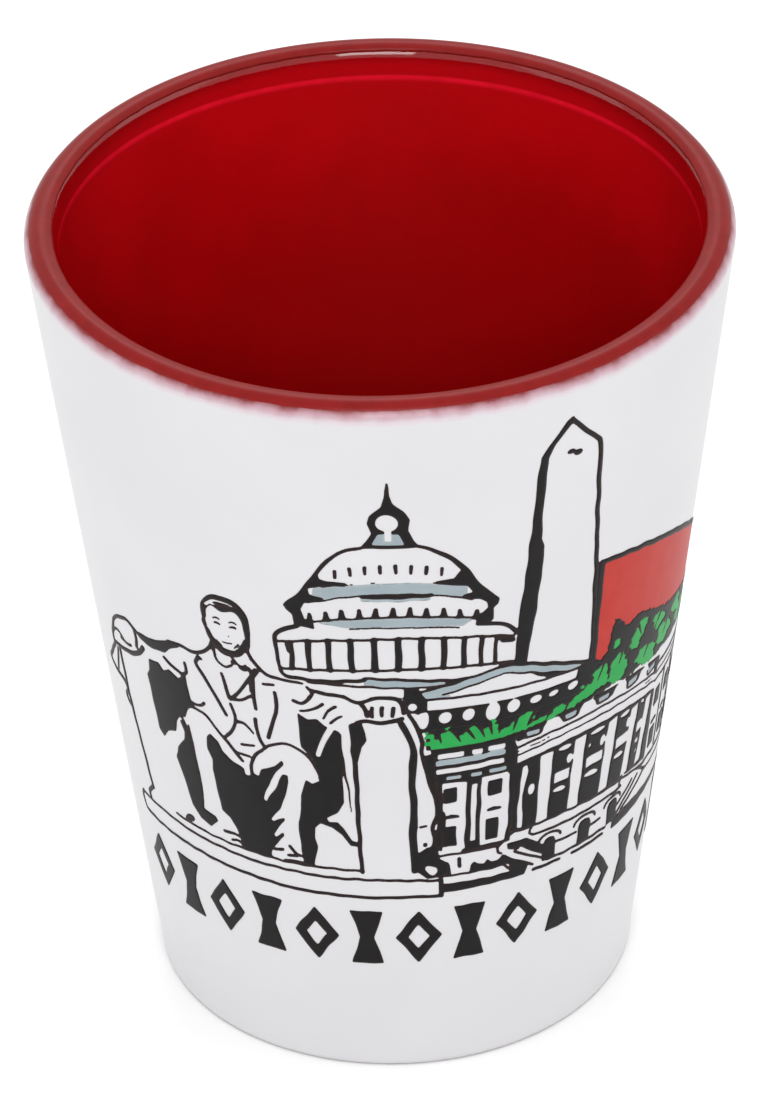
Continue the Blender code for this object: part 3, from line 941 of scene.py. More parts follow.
    def fill(self, points: Points, ink: Ink = Ink.BLACK, smooth: bool = False,
             ragged: float = 0.0) -> None:
        """Fill a shape.

        Args:
            points: its corners as (degrees, mm) pairs.
            ink: the screen.
            smooth: whether a curve runs through the points.
            ragged: how far in mm its edge is frayed.
        """
        signed, area = self.shape(points, smooth, ragged)
        self.paint(signed, area, ink)

    def clear(self, points: Points, smooth: bool = False, inks: Iterable[Ink] = tuple(Ink),
              grow: float = 0.0) -> None:
        """Leave a shape bare.

        Args:
            points: its corners as (degrees, mm) pairs.
            smooth: whether a curve runs through the points.
            inks: the screens it is cut from.
            grow: how far in mm its edge moves outwards.
        """
        signed, area = self.shape(points, smooth)
        self.take_away(signed + grow, area, inks)

    def patch(self, points: Points, ink: Ink, smooth: bool = False, ragged: float = 0.0,
              trap: float = 0.12) -> None:
        """Show one ink in a shape, with no black there.

        Args:
            points: its corners as (degrees, mm) pairs.
            ink: the colour.
            smooth: whether a curve runs through the points.
            ragged: how far in mm its edge is frayed.
            trap: how far in mm the colour runs under the black round it.
        """
        signed, area = self.shape(points, smooth, ragged)
        self.take_away(signed, area, [other for other in Ink if other is not ink])
        self.paint(signed + trap, area, ink)

    def line(self, points: Points, width: float, end: float | None = None,
             smooth: bool = True) -> None:
        """Draw a black line.

        Args:
            points: (degrees, mm) pairs along it.
            width: at its start in mm.
            end: width at its end, or None for the same.
            smooth: whether a curve runs through the points.
        """
        signed, area = self.stroke(points, width, end, smooth)
        self.paint(signed, area, Ink.BLACK)

    def rule(self, points: Points, width: float, end: float | None = None) -> None:
        """Draw a black line that runs straight from point to point."""
        self.line(points, width, end, False)

    def gap(self, points: Points, width: float, end: float | None = None,
            smooth: bool = True) -> None:
        """Leave a line bare on every screen; the arguments are those of `line`."""
        signed, area = self.stroke(points, width, end, smooth)
        self.take_away(signed, area, tuple(Ink))

    def soften(self) -> None:
        """Let the ink spread: average each layer with its neighbours, which rounds small corners."""
        for ink, layer in self.depth.items():
            padded = np.pad(layer, 1, mode="edge")
            rows = (padded[:-2] + 2 * padded[1:-1] + padded[2:]) / 4
            self.depth[ink] = (rows[:, :-2] + 2 * rows[:, 1:-1] + rows[:, 2:]) / 4


# ---- The picture, from back to front ----
@dataclass
class Obelisk:
    """Tall four-sided shaft with a pointed cap, in shade on its left."""

    line: float = 0.32

    def draw(self, art: Drawing) -> None:
        """Draw the shaft."""
        art.motif = Motif.OBELISK
        art.fill([(23, 36.2), (23.4, 40), (24.3, 44), (25, 48), (25.4, 51), (25.8, 53.7), (28, 54.9),
                  (30.3, 56.2), (31.4, 56.5), (32, 56.1), (31, 55.7), (28.5, 54.5), (27.3, 53.5),
                  (27, 50), (26.9, 46.8), (27.6, 46.1), (27.5, 43.5), (26.8, 40.5), (26.1, 38),
                  (25.4, 35.8)])
        art.line([(31.2, 56.25), (33.6, 55.1), (36.6, 53.8), (37.6, 53), (38, 50), (38.6, 46),
                  (39.4, 42), (40, 38), (40.5, 33.8)], self.line, self.line + 0.06)
        art.fill(oval(31.5, 53.42, 0.8, 0.2), smooth=True)
        art.fill(oval(32.9, 53.2, 0.9, 0.24), smooth=True)


@dataclass
class Dome:
    """Great ribbed dome on a colonnaded drum, with a lantern and a spire."""

    gap_width: float = 0.43
    swing: float = 24.0
    bay: float = 10.2
    middle: float = -0.75

    def draw(self, art: Drawing) -> None:
        """Draw the dome from its spire down."""
        art.motif = Motif.DOME
        self.shell(art)
        self.lantern(art)
        self.drum(art)
        self.base(art)

    def lantern(self, art: Drawing) -> None:
        """Spire, small roof and round-windowed lantern."""
        art.fill([(0, 54.1), (0.4, 52.6), (1, 51.8), (2.6, 51.1), (3.6, 50.4), (3.5, 49.4), (4.3, 48.6),
                  (5.4, 48), (-4.8, 48), (-3.4, 48.7), (-2.7, 49.3), (-3.5, 50.2), (-3, 50.8),
                  (-1.2, 51.5), (-0.5, 52.4)])
        art.clear(oval(-0.1, 50.15, 1.9, 0.72), smooth=True)
        art.patch([(-1.7, 49.2), (1.8, 49.2), (2.8, 48.3), (-2.7, 48.3)], Ink.TINT)
        art.clear(box(-0.6, 0.5, 48.6, 49.6))

    def shell(self, art: Drawing) -> None:
        """Outlines of the shell, its bands and its rows of small windows and brackets."""
        art.line([(-4.6, 48.05), (-7, 47.8), (-9.7, 47.1), (-12, 45.9), (-14.6, 44.2), (-18.2, 42.5)],
                 0.22, 0.34)
        art.line([(5, 48.1), (7.4, 47.7), (10.2, 46.9), (13.2, 45.6), (15.4, 44.1), (19, 42.5)], 0.24,
                 0.44)
        art.fill(bow(-13.2, 13.4, 44.95, 0.0, 0.0036) + bow(13.6, -13.6, 44.05, 0.0, 0.0052), Ink.TINT)
        art.line(bow(-11.6, 12.0, 45.02, 0.0, 0.0040), 0.12)
        art.line(bow(-14.2, 14.6, 44.0, 0.0, 0.0052), 0.16)
        art.fill(box(-4.9, 7.6, 43.6, 43.95))
        art.fill(box(-4.9, 7.2, 43.35, 43.62), Ink.TINT)
        art.fill([(-12.2, 45.9), (-14.9, 44.1), (-18.5, 42.6), (-18.3, 42.2), (-17.2, 41.8),
                  (-17, 40.8), (-13.2, 40.7), (-13.4, 41.15), (-15.2, 41.5), (-15.7, 42.3),
                  (-14.8, 42.9), (-12, 43.2), (-11.4, 43.6), (-13.8, 43.7), (-14.1, 44.2),
                  (-11.6, 44.55), (-7.6, 44.65), (-7.4, 44.95), (-10.6, 45), (-11.9, 45.15)])
        art.fill([(9.4, 47.2), (13.6, 45.5), (15.2, 44.2), (17.2, 43), (19.6, 42.5), (19.4, 42.1),
                  (18.5, 41.8), (18.7, 40.8), (15.6, 40.6), (15.2, 41.2), (17.4, 41.9), (17.2, 42.4),
                  (16, 42.8), (12.8, 43.15), (12.9, 43.4), (14.6, 43.5), (13.4, 44.2), (8.2, 44.65),
                  (8, 44.9), (11.4, 44.95), (12.5, 45.6), (11, 46.3)])
        for d in np.arange(-9.2, 10.0, 2.6):
            sag = 0.0062 * d * d
            art.rule([(d, 46.5 - sag), (d, 45.85 - sag)], 0.24, 0.2)
        for d in np.arange(-14.2, 15.6, 2.95):
            sag = 0.0038 * d * d
            art.fill([(d - 0.3, 42.85 - sag), (d + 0.3, 42.85 - sag), (d + 0.75, 41.95 - sag),
                      (d - 0.75, 41.95 - sag)])
        art.line(bow(-16.0, 17.0, 42.0, 0.0, 0.0034), 0.17)
        art.fill(bow(-13.2, 15.0, 41.9, 0.0, 0.0034) + bow(13.0, -7.5, 41.1, 0.0, 0.0024), Ink.TINT)
        art.line(bow(-7.2, 12.4, 41.05, 0.0, 0.0030), 0.14)

    def drum(self, art: Drawing) -> None:
        """Colonnade: dark gaps where sin(k * bay) puts them round the drum, white columns between."""
        art.line([(-16.6, 40.75), (-18.6, 40.45), (-20.4, 39.9), (-20.9, 39.3), (-20.8, 38),
                  (-20.3, 36.6)], 0.36, 0.26)
        art.line([(15.8, 40.65), (19, 40.4), (21.4, 39.9), (23.2, 39.1)], 0.34, 0.3)
        art.line(bow(-20.4, 22.6, 40.08, 0.0, 0.0023), 0.2)
        art.line(bow(-20.3, 22.6, 37.3, 0.0, 0.0013), 0.2)
        for k in np.arange(-4.5, 6.0, 1.0):
            d = self.middle + self.swing * math.sin(math.radians(k * self.bay))
            width = self.gap_width * math.cos(math.radians(k * self.bay)) + 0.02
            art.rule([(d, 40.05 - 0.0023 * d * d), (d, 37.3 - 0.0013 * d * d)], width)
        art.rule([(-18.9, 39), (-18.6, 38.4)], 0.2)
        art.fill([(19.4, 39.1), (22.9, 38.75), (22.9, 38.4), (20.4, 38.55)])

    def base(self, art: Drawing) -> None:
        """Steps under the drum."""
        art.line([(-20.4, 36.55), (-19, 36.15), (-12, 36.15), (-4.8, 36.4)], 0.3, 0.3)
        art.fill([(-5, 36.55), (5, 36.4), (10.5, 35.95), (9.6, 35.65), (-1, 35.8), (-4.9, 35.95)],
                 Ink.TINT)
        art.line([(-5, 36.55), (2, 36.45), (9.6, 36.05), (16.4, 35.85)], 0.2, 0.3)
        art.line([(-15.4, 35.9), (-5, 35.85), (3, 35.65), (10, 35.6)], 0.18)
        art.fill([(10, 35.95), (17.4, 35.95), (14, 35.55), (9.6, 35.6)])
        art.line([(-16, 35.3), (-12, 35.05), (-7, 34.95), (-2, 34.75), (2.2, 34.7)], 0.2)


@dataclass
class Portico:
    """Low pedimented front with an arcade of oval openings."""

    windows: tuple[tuple[float, float, float, float], ...] = (
        (5.8, 32.7, 1.05, 0.78), (10.0, 32.75, 1.15, 0.5), (14.5, 32.7, 1.2, 0.52),
        (19.2, 32.55, 1.4, 0.78), (23.4, 32.6, 1.3, 0.55), (28.0, 32.6, 1.3, 0.34),
        (32.0, 32.55, 1.0, 0.24), (36.5, 32.5, 1.25, 0.34))

    def draw(self, art: Drawing) -> None:
        """Draw the pediment, its beam and the arcade."""
        art.motif = Motif.PORTICO
        art.clear([(4.6, 35), (20.8, 36.4), (23, 36.3), (40.4, 33.9), (41, 31.4), (4.6, 31.4)])
        art.fill([(5, 35.1), (20.5, 36.45), (23, 36.35), (39.6, 34), (34.8, 34), (22, 35.75),
                  (9.6, 34.9), (5.4, 34.8)], Ink.TINT)
        art.rule([(4.8, 35.15), (12, 35.75), (20.4, 36.45)], 0.2)
        art.rule([(20.2, 36.45), (23.2, 36.35), (31, 35.3), (40.6, 33.9)], 0.3)
        art.rule([(9.4, 34.8), (21.2, 35.75), (28, 34.95), (35.4, 33.95)], 0.17)
        art.fill([(5, 34.9), (9.8, 34.95), (11.6, 34.5), (6, 34.55)], Ink.TINT)
        art.fill([(26.6, 34.95), (29.4, 34.85), (35.2, 34), (31.6, 34)])
        art.rule([(6.4, 34.5), (20, 34.3), (37, 33.9)], 0.2)
        art.fill([(4.7, 33.5), (12, 33.45), (37, 33.05), (37.2, 34), (41.2, 34), (43.4, 33.4),
                  (41, 31.3), (30, 31.4), (22, 31.5), (4.9, 31.6)])
        for window in self.windows:
            art.clear(oval(*window), smooth=True)
        art.fill([(2.3, 35.75), (4.7, 35.55), (5.6, 35), (6.6, 34.5), (6.4, 33.4), (4.6, 33.3),
                  (2.6, 33.5), (2.3, 34.5)])
        art.clear(oval(3.9, 33.95, 0.8, 0.36), smooth=True)


@dataclass
class Panel:
    """Slanted red panel behind the trees, with a heavy outline."""

    left: float = 40.7
    right: float = 104.0
    line: float = 0.42

    def top(self, degree: np.ndarray) -> np.ndarray:
        """Height of the panel's upper edge in mm: it falls ever faster to the right."""
        along = degree - self.left
        return 42.45 - 0.055 * along - 0.00215 * along ** 2

    def draw(self, art: Drawing) -> None:
        """Draw the field and its outline."""
        art.motif = Motif.PANEL
        along = np.linspace(self.left, self.right, 26)
        edge = list(zip(along, self.top(along)))
        art.fill([(self.left, 32.5), *edge, (self.right, 29.0)], Ink.RED)
        art.rule([(self.left + 0.1, 33.6), (self.left, 42.4)], 0.62, 0.55)
        art.line(edge, self.line)


@dataclass
class Foliage:
    """Hedge in front of the portico and trees below the red panel."""

    leaf: float = 0.16

    def draw(self, art: Drawing) -> None:
        """Draw the dark mass, then the green in it, then dark blades over the green."""
        art.motif = Motif.FOLIAGE
        mass = [(41, 34), (43, 33.4), (44.6, 34), (46, 36.5), (47.5, 36.2), (50, 35.2),
                (54, 35.5), (57, 35), (61, 34.3), (65, 33.6), (69, 33.2), (75, 32.9),
                (80, 32.2), (88, 31.7), (96, 31.2), (104, 30.2), (104, 27.5), (92, 28.5),
                (80, 29.2), (70, 29.4), (60, 29.9), (50, 30.4), (41, 30.6)]
        art.clear(mass, inks=(Ink.RED,), grow=-0.25)
        art.fill(mass, ragged=0.1)
        art.fill(box(6.4, 42.0, 29.9, 31.7))
        patches = [
            [(6.7, 31.5), (8, 30.9), (9.5, 31.4), (10.4, 31.8), (12.6, 31), (15.4, 31.6),
             (17.2, 31.2), (19.5, 31.7), (21, 30.6), (24, 31.2), (26.4, 31.6), (29, 31.3),
             (26, 30.7), (30.6, 30.8), (36, 31.2), (40, 31.4), (41.4, 30.8), (34, 30.4),
             (27, 30.2), (21, 30), (8.2, 29.8)],
            [(38.6, 31.9), (42, 31.9), (41.4, 32.6), (44.8, 32.9), (45.4, 31), (40.4, 31.2)],
            [(46.6, 32.4), (48.6, 33.1), (50.6, 32.4), (51.4, 31.2), (50, 30.6), (46.6, 30.7)],
            [(46.6, 34.4), (47.8, 34.6), (48.2, 33.8), (46.9, 33.7)],
            [(51.6, 32.9), (53.2, 34), (55.6, 34.6), (57.4, 33.9), (55.8, 33.2), (54.6, 32.4)],
            [(54.6, 31.5), (58, 31.6), (61.4, 31), (61.8, 30), (58.4, 29.9), (55.6, 30.7)],
            [(59.6, 33.6), (63, 33.4), (65.4, 32.5), (61.8, 32.3)],
            [(63.6, 31.9), (68, 31.8), (70, 30.7), (66, 30.2), (63.4, 30.7)],
            [(70, 32.4), (74.5, 32.2), (75.4, 31.2), (71.4, 31.3)],
            [(73.6, 30.8), (79, 31.2), (81.4, 30.2), (76, 29.6)],
            [(80.6, 31.7), (85, 31.3), (84.2, 30.4)],
            [(84.4, 30.3), (90, 30.7), (92.6, 29.6), (87, 29.1)],
            [(92, 30.9), (97, 30.7), (100.6, 29.8), (95, 29.2)]]
        for patch in patches:
            art.patch(patch, Ink.GREEN, smooth=True, ragged=self.leaf)
        self.blades(art)

    def blades(self, art: Drawing) -> None:
        """Dark blades across the hedge, wide at the top and running out to a point."""
        for d, lean in ((8.3, 1), (11, 2.2), (13.6, 2.4), (16.2, 1.6), (18.6, 0.8), (21.6, -1),
                        (24.6, -1.2), (28.4, -2), (32.6, -2.2), (36.4, -1.6)):
            art.line([(d, 31.6), (d + 0.5 * lean, 31.0), (d + lean, 30.3)], 0.34, 0.1)
        for start, end in (((44.2, 33), (42.6, 31.6)), ((49.6, 33.2), (48.4, 31.9)),
                           ((54.2, 34.2), (55.6, 33.2)), ((58.8, 31.6), (57.4, 30.6)),
                           ((62.6, 33.3), (61, 32.6)), ((67.4, 31.8), (65.6, 30.8)),
                           ((77.6, 31.1), (76, 30.1)), ((88.6, 30.6), (87, 29.7)),
                           ((97, 30.6), (95.6, 29.7))):
            art.line([start, end], 0.26, 0.1)


@dataclass
class Hall:
    """Bow-fronted hall: left wing, round bay with tall columns, terrace and outer stairs."""

    crown: float = 39.5
    fall: float = 0.0021
    columns: tuple[tuple[float, float], ...] = ((30.1, 33.1), (38.3, 41.4), (47.6, 50.7), (55.6, 58.2),
                                                (61.6, 64.2))

    def eaves(self, height: float, left: float = 24.4, right: float = 66.0) -> Points:
        """A cornice line of the bay; it falls to both sides and most to the right."""
        return bow(left, right, height, self.crown, self.fall)

    def draw(self, art: Drawing) -> None:
        """Draw the hall from left to right."""
        art.motif = Motif.HALL
        art.clear([(7, 29.9), (22, 29.9), (24.6, 29.6), *bow(24.8, 66.0, 30.35, 40.0, self.fall),
                   (66, 16.2), (7, 16.2)])
        self.left_wing(art)
        self.bay(art)
        self.parapet(art)
        self.right_wing(art)
        self.terrace(art)

    def left_wing(self, art: Drawing) -> None:
        """Bars of the cornice, then two window frames with a pilaster between them."""
        art.fill([(7.2, 29.95), (24.8, 29.95), (24.8, 26.85), (24.3, 20.2), (8.6, 20.2), (8.8, 26.4)])
        for left, right in ((8.6, 13.6), (15.3, 17.5), (18.5, 22.1)):
            art.clear(box(left, right, 28.98, 29.42))
        art.patch(box(8.3, 22.2, 28.42, 28.86), Ink.TINT)
        art.clear([(8.3, 27.62), (22.2, 27.62), (22, 28.1), (8.2, 28.1)])
        for left, right in ((10.2, 13.4), (15.2, 17.4), (19, 23.2)):
            art.patch(box(left, right, 26.98, 27.3), Ink.TINT)
        art.clear([(9.6, 20.45), (14.5, 20.45), (14.2, 21.2), (14.5, 26.6), (9.6, 26.75), (9.7, 24.2),
                   (10.2, 24), (10.2, 22.4), (9.7, 22.2)])
        art.clear([(15.4, 21), (16.5, 21), (16.6, 26.3), (15.5, 26.3)])
        art.clear([(17.5, 20.45), (23.1, 20.45), (23.5, 21.6), (23.4, 26.4), (22.8, 26.75),
                   (17.4, 26.75)])
        for window in (box(10.0, 12.4, 24.85, 26.25), box(9.8, 12.6, 20.85, 22.65),
                       box(18.9, 21.8, 24.9, 26.25), box(18.7, 21.4, 20.8, 22.75)):
            art.fill(window)
        for left, right in ((9.8, 13.3), (18.6, 22.3)):
            art.fill([(left, 23.42), (right, 23.42), (right - 0.4, 23.62), (left + 1.6, 23.8),
                      (left + 0.2, 23.66)])
        art.clear([(8.8, 20.08), (13.6, 20.08), (13.9, 20.5), (8.9, 20.75)])
        art.fill([(8.4, 20.15), (21.6, 20.15), (21.6, 19.95), (8.4, 19.95)])
        art.line([(13.8, 20.1), (14.9, 20.5), (16, 20.62), (17, 20.45), (17.9, 20.1)], 0.18)
        art.line([(8.6, 19.95), (9.6, 19.35), (10.9, 19.2), (11.2, 18.2)], 0.24)
        art.line([(13.3, 19.55), (13.3, 18.85)], 0.3)
        art.line([(21.4, 20), (21.6, 19.4), (22.4, 19.15)], 0.18)
        art.fill([(15.5, 18.1), (15.7, 18.8), (16.4, 19.05), (17.2, 18.75), (18.6, 18.6), (19.5, 19),
                  (20.4, 18.7), (21.6, 18.65), (22.6, 18.9), (24.4, 18.4), (24.4, 18.1)])
        art.rule([(9, 18.12), (23, 18.1), (24.9, 17.4)], 0.2)

    def bay(self, art: Drawing) -> None:
        """Cornice lines, dark porch, white columns and the lit panels between them."""
        art.fill([(24.6, 29.6), *bow(24.8, 66.0, 30.4, 40.0, self.fall), *self.eaves(29.1, 66.0, 24.6)])
        for height, width in ((29.1, 0.2), (28.72, 0.12), (28.38, 0.16), (27.5, 0.24)):
            art.line(self.eaves(height), width)
        art.fill([(22.4, 29.9), (24.6, 29.9), (23.8, 29.2), (24.4, 28.4), (23.9, 27.9), (24.6, 27.3),
                  (24.6, 26.6), (22.6, 26.8)])
        art.fill([(24.3, 27.2), *self.eaves(27.5, 24.6, 66.0), (65.4, 20.1), (56, 20.7), (40, 20.95),
                  (24.4, 20.95)])
        art.clear([(25.6, 21.2), (26.8, 21.1), (26.9, 22.4), (26.4, 24), (27.5, 26.2), (27.2, 26.75),
                   (26.2, 26.7), (25.9, 25), (25.6, 23.2)])
        art.clear(oval(28.5, 24.4, 0.8, 0.5), smooth=True)
        for left, right in self.columns:
            top = 27.28 - self.fall * (0.5 * (left + right) - self.crown) ** 2
            foot = 20.98 - 0.0007 * max(left - 41.0, 0.0) ** 2
            lean = 0.045 * (left - 30.0)
            art.clear([(left - lean, foot), (right - lean - 0.3, foot), (right, top), (left + 0.1, top)])
        for left, right, sag in ((34.0, 37.8, 0.0), (42.2, 46.9, 0.05), (51.2, 55.2, 0.3),
                                 (59.0, 61.0, 0.7)):
            middle = 0.5 * (left + right)
            art.clear([(left + 0.3, 27.15 - sag), (middle, 27.25 - sag), (right - 0.2, 27.05 - sag),
                       (middle + 0.8, 26.82 - sag), (left + 0.9, 26.95 - sag)], smooth=True)
            art.clear(box(left - 0.1, right - 0.1, 24.05 - sag * 0.4, 24.98 - sag * 0.4))
            art.clear([(left - 0.1, 23.5 - sag * 0.5), (middle, 23.56 - sag * 0.5),
                       (right - 0.9, 23.25 - sag * 0.5), (middle, 23.1 - sag * 0.5),
                       (left, 23.26 - sag * 0.5)], smooth=True)
        for d, h in ((37.3, 25.8), (46.5, 25.8), (54.9, 25.6)):
            art.clear(oval(d, h, 0.75, 0.45), smooth=True)
        for d, h in ((42.6, 26), (59.8, 22)):
            art.clear(oval(d, h, 0.3, 0.2), smooth=True)
        art.line([(28.9, 20.95), (41, 20.9), (55, 20.5), (66, 19.6)], 0.2)
        art.line([(29.6, 20), (42, 19.95), (55.2, 19.8)], 0.22)
        art.line([(29.4, 20.9), (28.8, 20.3), (29.8, 20.02)], 0.2)
        art.line([(54.8, 20.45), (54.4, 20.1), (55.2, 19.8)], 0.2)

    def parapet(self, art: Drawing) -> None:
        """White piers between outlined grey boxes along the bay's roof."""
        art.clear([(24.2, 29.3), (24.2, 29.6), *self.eaves(29.62, 24.8, 64.0),
                   *self.eaves(29.18, 64.0, 24.8)])
        for d in (32.3, 41.0, 50.2, 58.8):
            sag = self.fall * (d - self.crown) ** 2
            art.clear([(d - 2.7, 29.4 - sag), (d - 1.9, 29.95 - sag), (d - 1.3, 30.32 - sag),
                       (d + 1.3, 30.32 - sag), (d + 1.9, 30.0 - sag), (d + 2.8, 29.4 - sag)])
        for d in (28.0, 36.7, 45.4, 54.6, 62.4):
            sag = self.fall * (d - self.crown) ** 2
            art.line([(d - 2.0, 30.05 - sag), (d - 1.6, 29.55 - sag), (d + 1.6, 29.55 - sag),
                      (d + 2.0, 30.0 - sag)], 0.16)
            art.patch([(d - 1.3, 29.66 - sag), (d - 1.6, 30.06 - sag), (d + 1.5, 30.02 - sag),
                       (d + 1.2, 29.66 - sag)], Ink.TINT, trap=0.05)

    def right_wing(self, art: Drawing) -> None:
        """The wing that runs on round the glass, window by window."""
        art.clear([(65.6, 28.2), (104, 26.6), (104, 18.2), (65.6, 19.6)])
        for low, width in ((28.3, 0.24), (27.6, 0.14), (26.9, 0.2), (19.8, 0.24), (18.9, 0.18)):
            art.line([(65.4, low), (84.0, low - 0.55), (104.0, low - 1.5)], width)
        for d in np.arange(68.2, 101.0, 6.4):
            fall = 0.0009 * (d - 65.0) ** 2 + 0.012 * (d - 65.0)
            art.fill(box(d - 1.4, d + 1.4, 24.3 - fall, 25.8 - fall))
            art.fill([(d - 1.8, 22.75 - fall), (d + 1.8, 22.75 - fall), (d + 1.2, 23.05 - fall),
                      (d - 1.2, 23.05 - fall)])
            art.fill(box(d - 1.5, d + 1.5, 20.6 - fall, 22.3 - fall))
            art.rule([(d + 3.2, 26.8 - fall), (d + 3.2, 20.1 - fall)], 0.26)
        art.rule([(104, 26.8), (104, 18.3)], 0.24)

    def terrace(self, art: Drawing) -> None:
        """Stairs, arched doors and the ledges in front."""
        art.rule([(21.7, 19.95), (25.2, 20.9), (28.6, 20.85)], 0.16)
        art.fill([(23.6, 19.95), (28, 19.95), (29.4, 19.55), (32.6, 18.7), (33, 17.9), (34.8, 17.5),
                  (33.6, 17.3), (31, 17.95), (26.6, 19.1), (23.8, 19.4)])
        art.gap([(26.8, 19.2), (33.8, 17.35)], 0.2, smooth=False)
        art.rule([(25.5, 19.05), (33.8, 17.15)], 0.2)
        art.rule([(22.8, 18.8), (25, 18.35), (30.2, 17.15)], 0.4, 0.2)
        for d, h, reach in ((34.0, 19.05, 2.8), (43.6, 19.0, 3.1), (52.7, 18.95, 2.9)):
            arch = [(d + reach * math.cos(a), h + 0.55 * math.sin(a))
                    for a in np.linspace(math.pi, 0.0, 9)]
            art.line(arch, 0.22)
            half = 0.58 * reach
            door = [(d - half, 17.15), (d - half, 18.7), (d - 0.7 * half, 19.1), (d, 19.22),
                    (d + 0.7 * half, 19.1), (d + half, 18.7), (d + half, 17.15)]
            art.fill(door)
        art.line([(35.8, 18.45), (41.2, 18.4)], 0.22)
        art.line([(45.4, 18.32), (48.6, 18.28)], 0.24)
        art.line([(34, 17.15), (41.8, 17.12), (50.8, 17.05)], 0.22)
        for start, end in (((53, 17.15), (62.6, 19.3)), ((54.6, 18.25), (60, 19.4)),
                           ((56.4, 17.45), (66.6, 19)), ((61.6, 20), (67, 18.9))):
            art.rule([start, end], 0.24)
        art.fill([(9.8, 17.35), (24.8, 17.28), (25.2, 17.6), (23.6, 18.3), (25, 18.5), (28.8, 17.4),
                  (28.2, 16.6), (9.8, 16.62)])
        art.line([(30.3, 16.72), (37.2, 16.66)], 0.26)
        art.line([(40.6, 16.6), (50.2, 16.58)], 0.26)
        art.fill([(53.3, 16.3), (53.6, 17.2), (56, 17.4), (72, 17), (88, 16.4), (104, 15.9),
                  (104, 15.6), (88, 16), (72, 16.4)])
        art.gap([(56, 17.1), (72, 16.8), (88, 16.25)], 0.1)


